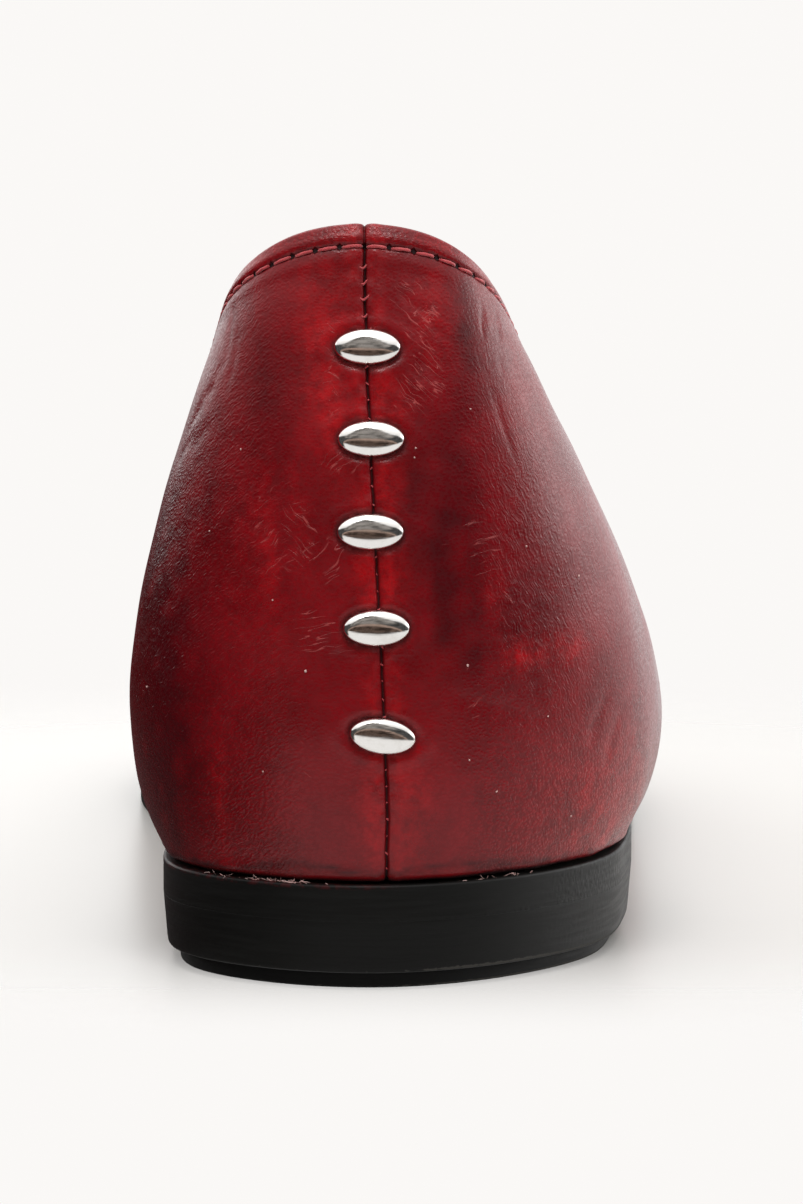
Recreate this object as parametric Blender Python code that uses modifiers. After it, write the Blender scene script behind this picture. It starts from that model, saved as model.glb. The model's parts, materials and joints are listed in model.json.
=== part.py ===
"""Ballet flat, right shoe: a lasted red leather upper, open at the collar, on a black sole with a low heel.

Lengths are in millimetres and become metres when a mesh is made. While the pieces are worked out, y = 0 is the
back edge of the sole, x = 0 the middle of the heel and z = 0 the ground. +Y points to the toe, and +X to the
outer side of the foot. All pieces hang from one empty, which puts the middle of the shoe over the origin.
"""

import math
from collections import namedtuple

import bmesh
import bpy
import numpy as np
from mathutils import Matrix, Vector

MM = 0.001
SHOE_NAME = "ballet_flat"

# Driving dimensions of the last
LAST_LENGTH = 244.0
BALL_WIDTH = 74.0
BACK_HEIGHT = 74.9
WALL = 1.6
GAP = 0.3

# Sole and heel
SOLE_MARGIN = 0.8
HEEL_SOLE_THICKNESS = 4.2
TREAD_SOLE_THICKNESS = 3.6
HEEL_BLOCK_HEIGHT = 5.7
HEEL_BLOCK_TAPER = 0.5
HEEL_LIFT_HEIGHT = 1.6
HEEL_LIFT_INSET = 1.5
HEEL_BREAST = 0.215 * LAST_LENGTH
HEEL_BREAST_HOLLOW = 3.0
TREAD_BACK = 0.57 * LAST_LENGTH
TREAD_FRONT = 0.76 * LAST_LENGTH
TOE_SPRING = 5.0
INSOLE_THICKNESS = 2.6
INSOLE_INSET = 2.1

# Studs over the back seam
STUD_WIDTH = 7.6
STUD_HEIGHT = 4.2
STUD_RISE = 1.5
STUD_BASE_CUT = 0.35

# How finely the curves are divided
RIBS_AROUND = 84
RIB_STEPS = 13
PLATE_STATIONS = 38
HEEL_STATIONS = 14
BREAST_STEPS = 6
STUD_SEGMENTS = 32
STUD_RINGS = 16

# One rib of the upper runs from the foot, at the sole, to the top, at the topline. "across" is in per cent of
# half the ball width, "along" in per cent of the last's length, and the rest in per cent of the back height.
# "out" and "up" or "down" are how far the rib's handle stands from that end.
Rib = namedtuple(
    "Rib",
    "foot_across foot_along foot_out foot_up top_out top_down top_across top_along top_height",
)
RIBS = (
    # back seam
    Rib(-2.5, 0.0, 9.0, 22, 11, 35, -9.5, 2.6, 100.0),
    # outer side, from the heel to the toe
    Rib(35, 3.0, 11.5, 21.5, 12, 33, 11.5, 3.1, 98.2),
    Rib(61.5, 8.4, 14.5, 21, 14, 31, 24.5, 4.8, 94.2),
    Rib(72.4, 15.0, 16.0, 20.5, 15, 29, 33, 9.6, 87.5),
    Rib(76, 22.5, 15.2, 20.5, 14, 27, 42.5, 17.5, 75.5),
    Rib(70.5, 33.0, 12.8, 19, 12, 24, 55.5, 30.0, 61.5),
    Rib(74.5, 46.0, 10.5, 18, 10, 18, 65.5, 43.5, 53.0),
    Rib(85, 59.0, 8.5, 18, 12, 11, 62, 55.5, 48.0),
    Rib(86, 71.0, 8.5, 17, 15, 8, 51, 65.0, 45.0),
    Rib(76.5, 82.0, 8.0, 17, 22, 7, 31, 70.6, 43.0),
    Rib(46, 93.5, 8.0, 17, 33, 9, 12.5, 72.8, 42.2),
    # toe
    Rib(-18, 100.0, 8.0, 17, 43, 12, -6, 73.4, 42.0),
    # inner side, from the toe to the heel
    Rib(-74, 95.5, 8.0, 17, 34, 9, -25, 72.6, 42.2),
    Rib(-101, 86.0, 8.0, 17, 23, 7, -44, 70.0, 43.0),
    Rib(-107, 73.0, 8.5, 17, 17, 8, -61, 64.6, 45.0),
    Rib(-94.5, 60.0, 9.0, 18, 12, 11, -70, 55.5, 48.0),
    Rib(-67, 47.0, 11.0, 19, 9, 18, -70, 43.5, 53.0),
    Rib(-58.5, 34.0, 13.2, 19.5, 9, 24, -68, 30.0, 61.5),
    Rib(-70.5, 21.5, 13.9, 20.5, 9.5, 27, -62.5, 17.5, 75.5),
    Rib(-73.5, 12.0, 14.5, 20, 10.5, 29, -54, 9.6, 87.5),
    Rib(-64, 5.0, 13.0, 20.5, 11, 31, -45.5, 4.8, 94.2),
    Rib(-40, 1.4, 11.0, 21.5, 11, 33, -32, 3.1, 98.2),
)
RIB_SCALE = Rib(
    BALL_WIDTH / 200,
    LAST_LENGTH / 100,
    *[BACK_HEIGHT / 100] * 4,
    BALL_WIDTH / 200,
    LAST_LENGTH / 100,
    BACK_HEIGHT / 100,
)

# Studs from the top down: height above the ground, how far the stud sits beside the seam, and its tilt in degrees
Stud = namedtuple("Stud", "height aside tilt")
STUDS = (
    Stud(73.2, 0.1, 0),
    Stud(62.9, 0.1, 0),
    Stud(52.5, -0.5, 0),
    Stud(41.7, -0.4, 0),
    Stud(29.5, -0.3, -8),
)

# Materials: colour, roughness, metallic
Finish = namedtuple("Finish", "color roughness metallic")
FINISHES = {
    "leather": Finish((0.24, 0.012, 0.018), 0.38, 0.0),
    "sole": Finish((0.012, 0.012, 0.011), 0.5, 0.0),
    "sock": Finish((0.42, 0.30, 0.20), 0.6, 0.0),
    "stud": Finish((0.82, 0.81, 0.79), 0.12, 1.0),
}


# --- the last's curves --------------------------------------------------------------------------------------


def closed_spline(knots, period, rows, at):
    """Values at `at` of the smooth closed curve that passes through rows at knots, a periodic cubic spline."""
    count = len(knots)
    gaps = np.diff(np.append(knots, period))
    before = np.roll(gaps, 1)
    slopes = (np.roll(rows, -1, axis=0) - rows) / gaps[:, None]
    matrix = np.diag(2 * (gaps + before))
    for i in range(count):
        matrix[i, (i + 1) % count] += gaps[i]
        matrix[i, i - 1] += before[i]
    bends = np.linalg.solve(matrix, 6 * (slopes - np.roll(slopes, 1, axis=0)))
    at = np.mod(at, period)
    here = np.searchsorted(knots, at, side="right") - 1
    after = (here + 1) % count
    step = (at - knots[here])[:, None]
    gap = gaps[here][:, None]
    cubic = (bends[after] - bends[here]) / (6 * gap)
    linear = slopes[here] - gap * (2 * bends[here] + bends[after]) / 6
    return rows[here] + step * (linear + step * (bends[here] / 2 + step * cubic))


def rib_columns(around):
    """The Rib columns in millimetres, each an array, at fractions of the way round from the back seam."""
    rows = np.array(RIBS) * np.array(RIB_SCALE)
    foot_steps = np.linalg.norm(np.roll(rows[:, 0:2], -1, axis=0) - rows[:, 0:2], axis=1)
    top_steps = np.linalg.norm(np.roll(rows[:, 6:8], -1, axis=0) - rows[:, 6:8], axis=1)
    steps = foot_steps + top_steps
    knots = np.append(0, np.cumsum(steps)[:-1]) / steps.sum()
    return Rib(*closed_spline(knots, 1.0, rows, np.asarray(around, float)).T)


def outward(across, along):
    """Unit vectors square to a line in plan, away from the shoe, from the line's steps (dx, dy)."""
    length = np.hypot(across, along)
    return np.stack([along / length, -across / length], axis=-1)


def foot_line(around, margin=0.0):
    """Plan points of the line where the upper meets the sole, moved out by margin."""
    step = 1e-4
    here, ahead, behind = (rib_columns(around + move) for move in (0, step, -step))
    normal = outward(ahead.foot_across - behind.foot_across, ahead.foot_along - behind.foot_along)
    return np.stack([here.foot_across, here.foot_along + SOLE_MARGIN], axis=-1) + margin * normal


def even_around(count):
    """Fractions round the shoe, closer together where the foot line turns more."""
    turn_worth = 14.0
    fine = np.linspace(0, 1, 2001)
    steps = np.diff(foot_line(fine), axis=0)
    heading = np.unwrap(np.arctan2(steps[:, 1], steps[:, 0]))
    turns = np.abs(np.diff(heading, prepend=heading[0]))
    travelled = np.append(0, np.cumsum(np.hypot(*steps.T) + turn_worth * turns))
    return np.interp(np.arange(count) / count * travelled[-1], travelled, fine)


def upper_points(around, up):
    """Points of the upper's outer surface, shaped (around, up, 3): each rib is one cubic Bezier curve."""
    step = 1e-4
    here, ahead, behind = (rib_columns(around + move) for move in (0, step, -step))
    foot_normal = outward(ahead.foot_across - behind.foot_across, ahead.foot_along - behind.foot_along)
    top_normal = outward(ahead.top_across - behind.top_across, ahead.top_along - behind.top_along)
    foot_xy = np.stack([here.foot_across, here.foot_along + SOLE_MARGIN], axis=-1)
    top_xy = np.stack([here.top_across, here.top_along + SOLE_MARGIN], axis=-1)
    foot_z = sole_top(foot_xy[:, 1]) + GAP
    top_z = seat_height() + here.top_height
    ends = (
        np.column_stack([foot_xy, foot_z]),
        np.column_stack([foot_xy + foot_normal * here.foot_out[:, None], foot_z + here.foot_up]),
        np.column_stack([top_xy + top_normal * here.top_out[:, None], top_z - here.top_down]),
        np.column_stack([top_xy, top_z]),
    )
    t = np.asarray(up, float)
    weights = ((1 - t) ** 3, 3 * (1 - t) ** 2 * t, 3 * (1 - t) * t**2, t**3)
    return sum(weight[None, :, None] * end[:, None, :] for weight, end in zip(weights, ends))


# --- the sole's heights -------------------------------------------------------------------------------------


def ease(value):
    """0 up to value 0, 1 from value 1 on, and level at both."""
    value = np.clip(value, 0, 1)
    return value * value * (3 - 2 * value)


def heel_sole_bottom():
    return HEEL_LIFT_HEIGHT + GAP + HEEL_BLOCK_HEIGHT + GAP


def seat_height():
    return heel_sole_bottom() + HEEL_SOLE_THICKNESS


def sole_bottom(y):
    """The outsole's underside: level on the heel, down through the arch, level on the tread, up at the toe."""
    arch = heel_sole_bottom() * (1 - ease((y - HEEL_BREAST) / (TREAD_BACK - HEEL_BREAST)))
    spring = np.clip((y - TREAD_FRONT) / (LAST_LENGTH - TREAD_FRONT), 0, None)
    return arch + TOE_SPRING * spring**2


def sole_top(y):
    thinning = ease((y - HEEL_BREAST) / (TREAD_BACK - HEEL_BREAST))
    thickness = HEEL_SOLE_THICKNESS + (TREAD_SOLE_THICKNESS - HEEL_SOLE_THICKNESS) * thinning
    return sole_bottom(y) + thickness


# --- meshes -------------------------------------------------------------------------------------------------


def material(name):
    finish = FINISHES[name]
    made = bpy.data.materials.get(name) or bpy.data.materials.new(name)
    made.use_nodes = True
    shader = made.node_tree.nodes["Principled BSDF"]
    shader.inputs["Base Color"].default_value = (*finish.color, 1)
    shader.inputs["Roughness"].default_value = finish.roughness
    shader.inputs["Metallic"].default_value = finish.metallic
    return made


def add_object(name, mesh_maker, finish, parent):
    """A smooth-shaded object in the shoe's collection, from a function that fills a bmesh in metres."""
    mesh = bpy.data.meshes.new(name)
    shape = bmesh.new()
    mesh_maker(shape)
    bmesh.ops.recalc_face_normals(shape, faces=shape.faces)
    shape.to_mesh(mesh)
    shape.free()
    mesh.shade_smooth()
    mesh.set_sharp_from_angle(angle=math.radians(35))
    mesh.materials.append(material(finish))
    made = bpy.data.objects.new(name, mesh)
    bpy.data.collections[SHOE_NAME].objects.link(made)
    made.parent = parent
    return made


def ring_of(shape, points):
    return [shape.verts.new(Vector(point) * MM) for point in points]


def bridge(shape, lower, upper):
    """Faces between two closed rings of as many points."""
    for i, corner in enumerate(lower):
        shape.faces.new((lower[i - 1], corner, upper[i], upper[i - 1]))


def cap_in_strips(shape, ring):
    """Closes a ring that starts at the back point and is the same number of points on each side."""
    half = len(ring) // 2
    shape.faces.new((ring[0], ring[1], ring[-1]))
    for i in range(1, half - 1):
        shape.faces.new((ring[i], ring[i + 1], ring[-i - 1], ring[-i]))
    shape.faces.new((ring[half - 1], ring[half], ring[half + 1]))


def sides_at(margin, portions, front):
    """y, inner x and outer x where lines across the sole, at portions of the way to front, meet its outline."""
    loop = foot_line(np.linspace(0, 1, 2000, endpoint=False), margin)
    loop = np.roll(loop, -loop[:, 1].argmin(), axis=0)
    toe = loop[:, 1].argmax()
    outer = loop[: toe + 1]
    inner = np.vstack([loop[toe:], loop[:1]])[::-1]
    back = loop[0, 1]
    y = back + portions * ((loop[toe, 1] if front is None else front) - back)
    return y, np.interp(y, inner[:, 1], inner[:, 0]), np.interp(y, outer[:, 1], outer[:, 0])


def full_length_ring(margin):
    """Plan points round the whole sole from the back point, in pairs that lie on lines across it."""
    portions = (1 - np.cos(np.pi * np.arange(PLATE_STATIONS + 1) / PLATE_STATIONS)) / 2
    y, inner, outer = sides_at(margin, portions, None)
    return np.vstack([np.column_stack([outer, y]), np.column_stack([inner, y])[-2:0:-1]])


def heel_ring(margin):
    """Plan points round the heel: its outline to the breast, and the breast's hollow arc."""
    front = HEEL_BREAST + min(margin, 0)
    portions = 1 - np.cos(np.pi / 2 * np.arange(HEEL_STATIONS + 1) / HEEL_STATIONS)
    y, inner, outer = sides_at(margin, portions, front)
    across = np.linspace(1, -1, BREAST_STEPS + 1)[1:-1]
    middle, half = (outer[-1] + inner[-1]) / 2, (outer[-1] - inner[-1]) / 2
    breast = np.column_stack([middle + half * across, front - HEEL_BREAST_HOLLOW * (1 - across**2)])
    return np.vstack([np.column_stack([outer, y]), breast, np.column_stack([inner, y])[:0:-1]])


def at_height(plan, height):
    """Plan points raised to a height, or to the height that a function gives at their y."""
    z = height(plan[:, 1]) if callable(height) else np.full(len(plan), height)
    return np.column_stack([plan, z])


# --- the pieces ---------------------------------------------------------------------------------------------


def make_plate(name, finish, parent, margin, bottom, top):
    def fill(shape):
        plan = full_length_ring(margin)
        rings = [ring_of(shape, at_height(plan, height)) for height in (bottom, top)]
        bridge(shape, *rings)
        for ring in rings:
            cap_in_strips(shape, ring)

    return add_object(name, fill, finish, parent)


def make_heel_layer(name, parent, bottom, top, bottom_margin, top_margin):
    def fill(shape):
        lower = ring_of(shape, at_height(heel_ring(bottom_margin), bottom))
        upper = ring_of(shape, at_height(heel_ring(top_margin), top))
        bridge(shape, lower, upper)
        shape.faces.new(lower)
        shape.faces.new(upper)

    return add_object(name, fill, "sole", parent)


def make_upper(parent):
    def fill(shape):
        points = upper_points(even_around(RIBS_AROUND), np.linspace(0, 1, RIB_STEPS))
        rings = [ring_of(shape, points[:, step]) for step in range(RIB_STEPS)]
        for lower, upper in zip(rings, rings[1:]):
            bridge(shape, lower, upper)

    upper = add_object("upper", fill, "leather", parent)
    wall = upper.modifiers.new("wall", "SOLIDIFY")
    wall.thickness = WALL * MM
    wall.offset = -1
    wall.use_even_offset = True
    return upper


def seam_frame(height, aside):
    """A point on the back seam's surface and the axes there: along the seam's side, up it, and out of it."""
    fine = np.linspace(0, 1, 400)
    seam = upper_points(np.array([0.0]), fine)[0]
    up = np.interp(height, seam[:, 2], fine)
    around = np.array([0.0, 2e-3])
    near = upper_points(around, np.array([up, up + 1e-3]))
    side = Vector(near[1, 0] - near[0, 0]).normalized()
    out = side.cross(Vector(near[0, 1] - near[0, 0])).normalized()
    return Vector(near[0, 0]) + side * aside, Matrix((side, out.cross(side), out)).transposed()


def make_stud(number, stud, parent):
    """An oval dome on the seam: the cap of an ellipsoid above its flat base."""
    radii = Vector((STUD_WIDTH / 2, STUD_HEIGHT / 2, STUD_RISE))

    def fill(shape):
        bmesh.ops.create_uvsphere(shape, u_segments=STUD_SEGMENTS, v_segments=STUD_RINGS, radius=1)
        bmesh.ops.bisect_plane(
            shape,
            geom=shape.verts[:] + shape.edges[:] + shape.faces[:],
            plane_co=(0, 0, STUD_BASE_CUT),
            plane_no=(0, 0, 1),
            clear_inner=True,
        )
        bmesh.ops.holes_fill(shape, edges=[edge for edge in shape.edges if edge.is_boundary])
        spread = 1 / math.sqrt(1 - STUD_BASE_CUT**2)
        for vert in shape.verts:
            unit = Vector((vert.co.x * spread, vert.co.y * spread, (vert.co.z - STUD_BASE_CUT) / (1 - STUD_BASE_CUT)))
            vert.co = unit * radii * MM

    made = add_object(f"stud_{number}", fill, "stud", parent)
    place, axes = seam_frame(stud.height, stud.aside)
    turned = axes.to_4x4() @ Matrix.Rotation(math.radians(stud.tilt), 4, "Z")
    made.matrix_local = Matrix.Translation((place + axes.col[2] * GAP) * MM) @ turned
    return made


def centre_over_origin(parent, pieces):
    """Moves the parent so that the middle of the pieces' outline is at x = 0 and y = 0."""
    bpy.context.view_layer.update()
    points = [piece.matrix_world @ vert.co for piece in pieces for vert in piece.data.vertices]
    for axis in (0, 1):
        reach = [point[axis] for point in points]
        parent.location[axis] -= (min(reach) + max(reach)) / 2


def clear_scene():
    for old in list(bpy.data.objects):
        bpy.data.objects.remove(old, do_unlink=True)


def main():
    clear_scene()
    collection = bpy.data.collections.new(SHOE_NAME)
    bpy.context.scene.collection.children.link(collection)
    shoe = bpy.data.objects.new("shoe", None)
    collection.objects.link(shoe)

    block_bottom = HEEL_LIFT_HEIGHT + GAP
    block_top = block_bottom + HEEL_BLOCK_HEIGHT
    lift_margin = SOLE_MARGIN - HEEL_BLOCK_TAPER - HEEL_LIFT_INSET

    pieces = [
        make_upper(shoe),
        make_plate("outsole", "sole", shoe, SOLE_MARGIN, sole_bottom, sole_top),
        make_plate(
            "insole",
            "sock",
            shoe,
            -INSOLE_INSET,
            lambda y: sole_top(y) + GAP,
            lambda y: sole_top(y) + GAP + INSOLE_THICKNESS,
        ),
        make_heel_layer(
            "heel_block", shoe, block_bottom, block_top, SOLE_MARGIN - HEEL_BLOCK_TAPER, SOLE_MARGIN
        ),
        make_heel_layer("heel_lift", shoe, 0, HEEL_LIFT_HEIGHT, lift_margin, lift_margin),
    ]
    pieces += [make_stud(number, stud, shoe) for number, stud in enumerate(STUDS, 1)]
    centre_over_origin(shoe, pieces)


main()
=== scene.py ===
"""Ballet flat, right shoe: the leather, threads, studs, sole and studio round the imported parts.

Tables and shapes are in millimetres, with y = 0 at the back edge of the sole, x = 0 in the middle of the
heel and z = 0 on the ground. +Y points to the toe, and +X to the outer side of the foot. Meshes are made in
metres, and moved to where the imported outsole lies.
"""

import json
import math
from collections import namedtuple

import bmesh
import bpy
import numpy as np
from bpy.props import FloatProperty, FloatVectorProperty, PointerProperty
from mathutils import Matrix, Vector

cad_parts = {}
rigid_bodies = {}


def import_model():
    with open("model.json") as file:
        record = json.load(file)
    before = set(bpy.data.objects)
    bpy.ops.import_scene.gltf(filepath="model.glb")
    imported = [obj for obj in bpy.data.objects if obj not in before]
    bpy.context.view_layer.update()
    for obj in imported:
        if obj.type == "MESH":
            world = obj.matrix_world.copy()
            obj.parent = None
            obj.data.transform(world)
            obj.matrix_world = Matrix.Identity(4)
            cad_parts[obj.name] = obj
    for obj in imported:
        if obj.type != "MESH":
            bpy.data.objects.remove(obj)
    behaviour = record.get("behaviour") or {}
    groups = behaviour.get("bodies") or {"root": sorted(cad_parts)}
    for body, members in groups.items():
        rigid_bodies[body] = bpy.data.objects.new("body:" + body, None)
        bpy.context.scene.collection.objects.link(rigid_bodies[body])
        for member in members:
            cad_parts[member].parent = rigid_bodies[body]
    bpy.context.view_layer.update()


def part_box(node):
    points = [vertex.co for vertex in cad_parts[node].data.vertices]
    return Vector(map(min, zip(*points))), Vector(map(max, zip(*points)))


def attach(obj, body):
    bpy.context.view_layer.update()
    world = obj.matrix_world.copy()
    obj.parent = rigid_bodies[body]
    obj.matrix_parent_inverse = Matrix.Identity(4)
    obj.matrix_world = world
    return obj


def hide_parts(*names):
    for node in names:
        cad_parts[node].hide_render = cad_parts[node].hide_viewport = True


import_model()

bl_info = {
    "name": "Ballet flat",
    "version": (1, 0, 0),
    "blender": (4, 5, 0),
    "location": "View3D > Sidebar > Ballet flat",
    "description": "Makes a red leather ballet flat with studs over its back seam, and a studio for it",
    "category": "Add Mesh",
}

MM = 0.001
COLLECTION = "Ballet flat"

# --- the last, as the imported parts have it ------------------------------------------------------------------

LAST_LENGTH = 244.0
BALL_WIDTH = 74.0
BACK_HEIGHT = 74.9
WALL = 1.6
GAP = 0.3
SOLE_MARGIN = 0.8
HEEL_SOLE_THICKNESS = 4.2
TREAD_SOLE_THICKNESS = 3.6
HEEL_BLOCK_HEIGHT = 5.7
HEEL_BLOCK_TAPER = 0.5
HEEL_LIFT_HEIGHT = 1.6
HEEL_LIFT_INSET = 1.5
HEEL_BREAST = 0.215 * LAST_LENGTH
HEEL_BREAST_HOLLOW = 3.0
TREAD_BACK = 0.57 * LAST_LENGTH
TREAD_FRONT = 0.76 * LAST_LENGTH
TOE_SPRING = 5.0
INSOLE_THICKNESS = 2.6
INSOLE_INSET = 2.1
STUD_WIDTH = 7.6
STUD_HEIGHT = 4.2
STUD_RISE = 1.5


def table(kind, *rows):
    """The rows of a table, each made one of a kind of named tuple."""
    return [kind(*row) for row in rows]


# One rib of the upper runs from the foot, at the sole, to the top, at the topline. "across" is in per cent of
# half the ball width, "along" in per cent of the last's length, and the rest in per cent of the back height.
# "out" and "up" or "down" are how far the rib's handle stands from that end.
Rib = namedtuple(
    "Rib", "foot_across foot_along foot_out foot_up top_out top_down top_across top_along top_height"
)
RIBS = table(
    Rib,
    # back seam
    (-2.5, 0.0, 9.0, 22, 11, 35, -9.5, 2.6, 100.0),
    # outer side, from the heel to the toe
    (35, 3.0, 11.5, 21.5, 12, 33, 11.5, 3.1, 98.2),
    (61.5, 8.4, 14.5, 21, 14, 31, 24.5, 4.8, 94.2),
    (72.4, 15.0, 16.0, 20.5, 15, 29, 33, 9.6, 87.5),
    (76, 22.5, 15.2, 20.5, 14, 27, 42.5, 17.5, 75.5),
    (70.5, 33.0, 12.8, 19, 12, 24, 55.5, 30.0, 61.5),
    (74.5, 46.0, 10.5, 18, 10, 18, 65.5, 43.5, 53.0),
    (85, 59.0, 8.5, 18, 12, 11, 62, 55.5, 48.0),
    (86, 71.0, 8.5, 17, 15, 8, 51, 65.0, 45.0),
    (76.5, 82.0, 8.0, 17, 22, 7, 31, 70.6, 43.0),
    (46, 93.5, 8.0, 17, 33, 9, 12.5, 72.8, 42.2),
    # toe
    (-18, 100.0, 8.0, 17, 43, 12, -6, 73.4, 42.0),
    # inner side, from the toe to the heel
    (-74, 95.5, 8.0, 17, 34, 9, -25, 72.6, 42.2),
    (-101, 86.0, 8.0, 17, 23, 7, -44, 70.0, 43.0),
    (-107, 73.0, 8.5, 17, 17, 8, -61, 64.6, 45.0),
    (-94.5, 60.0, 9.0, 18, 12, 11, -70, 55.5, 48.0),
    (-67, 47.0, 11.0, 19, 9, 18, -70, 43.5, 53.0),
    (-58.5, 34.0, 13.2, 19.5, 9, 24, -68, 30.0, 61.5),
    (-70.5, 21.5, 13.9, 20.5, 9.5, 27, -62.5, 17.5, 75.5),
    (-73.5, 12.0, 14.5, 20, 10.5, 29, -54, 9.6, 87.5),
    (-64, 5.0, 13.0, 20.5, 11, 31, -45.5, 4.8, 94.2),
    (-40, 1.4, 11.0, 21.5, 11, 33, -32, 3.1, 98.2),
)
PLAN_SCALE = (BALL_WIDTH / 200, LAST_LENGTH / 100)
RIB_SCALE = Rib(*PLAN_SCALE, *[BACK_HEIGHT / 100] * 4, *PLAN_SCALE, BACK_HEIGHT / 100)

# Studs from the top down: the height above the ground, the distance beside the seam, and the tilt in degrees
Stud = namedtuple("Stud", "height aside tilt")
STUDS = table(
    Stud,
    (73.2, 0.1, 0), (62.9, 0.1, 0), (52.5, -0.5, 0), (41.7, -0.4, 0), (29.5, -0.3, -8),
)

# --- the leather's finish, in millimetres over its surface --------------------------------------------------

# The mesh's columns: how far from the back seam each spacing reaches, and the spacing. Its rows: their
# distances above the foot, how many lie between, their distances below the topline, the steps round the rim,
# and the distances of the fold inside
COLUMN_GAPS = ((1.2, 0.09), (22, 0.3), (34, 0.6), (60, 0.9), (110, 1.6), (400, 2.4))
FOOT_ROWS = (0.0, 0.25, 0.55, 0.9, 1.3)
MIDDLE_ROWS = 122
TOP_ROWS = (7, 6.4, 5.8, 5.3, 4.9, 4.5, 4.1, 3.8, 3.5, 3.2, 3.0, 2.85, 2.7, 2.5, 2.3, 2.15, 2.0)
TOP_ROWS += (1.75, 1.5, 1.25, 1.0, 0.8)
OUTER_ROWS = len(FOOT_ROWS) + MIDDLE_ROWS + len(TOP_ROWS)
ROLL_STEPS = 12
FOLD_ROWS = (1.2, 1.8, 2.6, 3.6, 5.0)

# Creases are soft troughs (depth below 0) and ridges: the height above the ground and the distance beside the
# seam of the middle, then the length, the turn from upright in degrees, the bow, the depth and the half width
Crease = namedtuple("Crease", "height aside length turn bow depth width")
CREASES = table(
    Crease,
    # the collar's outer corner, where the quarter bends round the heel
    (76.2, 14.5, 5, -4, 0.1, -0.16, 0.22), (76.6, 15, 4, -6, 0.1, -0.10, 0.2),
    (75.5, 17.8, 4.5, -12, 0.3, -0.22, 0.35), (71, 16.9, 3.5, 6, 0, -0.06, 0.3),
    (64, 16.6, 12, 16, 0.5, -0.06, 0.4), (66, 15.6, 9, 18, 0.3, -0.04, 0.3),
    (68, 20.4, 11, 14, 0.5, -0.04, 0.4),
    # the collar's inner corner
    (75, -18.6, 10, 4, -0.6, -0.16, 0.6), (72, -16.9, 9, -12, -0.5, -0.10, 0.5),
    (69, -20.6, 8, -30, 0.5, -0.09, 0.6), (66.5, -23.4, 9, -52, 0.8, -0.10, 0.6),
    (64.5, -25.2, 9, -55, 0.9, -0.10, 0.6), (62.5, -22.8, 8, -50, 0.6, -0.08, 0.6),
    (61, -27.2, 9, -55, 0.8, -0.10, 0.7),
    # round the top two studs
    (69.3, 5.6, 5, 52, 0.5, 0.10, 0.4), (68, 4.4, 5, 46, 0.4, -0.10, 0.4),
    (70.8, 7.3, 6, 38, 0.6, -0.08, 0.4), (78.2, 5.4, 5, 58, 0.5, -0.08, 0.4),
    (75.8, 7.9, 5, 34, 0.6, -0.07, 0.4), (69.7, -1.7, 3.4, 20, 0, 0.16, 0.5),
    (69.9, 1.7, 3.2, -22, 0, 0.16, 0.5), (59.6, -1.8, 3.2, 24, 0, 0.15, 0.5),
    (59.7, 1.6, 2.8, -24, 0, 0.10, 0.5),
    # inner side of the lower studs
    (49.6, -4, 4, -34, 0.2, 0.09, 0.35), (50.8, -5.2, 3.6, -56, 0.2, 0.08, 0.3),
    (39.8, -4.9, 3.6, -44, 0.2, 0.08, 0.35), (41.7, -6.4, 4.4, -78, 0.3, 0.07, 0.35),
    # the outer flank above the sole
    (30, 30, 10, -34, 1, -0.16, 0.9), (27, 33, 9, -28, 0.8, -0.14, 0.8), (33, 12, 12, 78, 1, -0.08, 0.9),
    (31, 17, 11, 82, -0.8, -0.07, 0.9),
)

# Soft patches of colour: the height and the distance beside the seam of the middle, how tall and wide the
# patch is, and its strength
Patch = namedtuple("Patch", "height aside tall wide strength")
RUBBED_PATCHES = table(
    Patch,
    (68, -4.6, 7, 2.6, 0.9), (78, -5, 5, 3, 0.7), (67.5, 2.6, 4.5, 1.8, 0.8), (58, 1.6, 3.5, 1.8, 0.6),
    (48, 0, 4, 2.6, 1), (77, 7.6, 6, 2.2, 0.7), (38.2, 17.6, 2, 3, 0.8), (38.6, 24.5, 1.8, 3, 0.6),
    (45.5, 14, 3.5, 1.6, 0.35), (17, 36, 10, 13, 0.9), (51, -12.5, 9, 1.5, 0.45),
    (53, -8.6, 6, 1.1, 0.35), (22, 3.4, 7, 2, 0.55), (22, -2.4, 7, 1.4, 0.4), (22, -20.6, 7, 1.3, 0.45),
    (50, -16, 16, 4, 0.2),
)
# Darker patches of burnishing. The three low on the inner flank, at -28, -30 and -38 beside the seam, are
# painted shade where the pair's other shoe would shade the leather.
BURNISH_AND_SHADE_PATCHES = table(
    Patch,
    (56, 9.6, 11, 3.6, 0.75), (56, 4.6, 8, 2.6, 0.5), (40, 11, 7, 7, 0.55), (40, 18, 6, 3, 0.35),
    (76, 11.6, 7, 2.2, 0.5), (47, 7, 6, 3, 0.4), (67, -12, 9, 3.4, 0.5), (57, -19, 9, 4.5, 0.5),
    (45, -28, 16, 7, 0.6), (24, -30, 14, 7, 0.7), (34, -38, 24, 9, 1), (45, 21, 10, 6, 0.40),
    (70, 14, 8, 3, 0.35),
)

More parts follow.
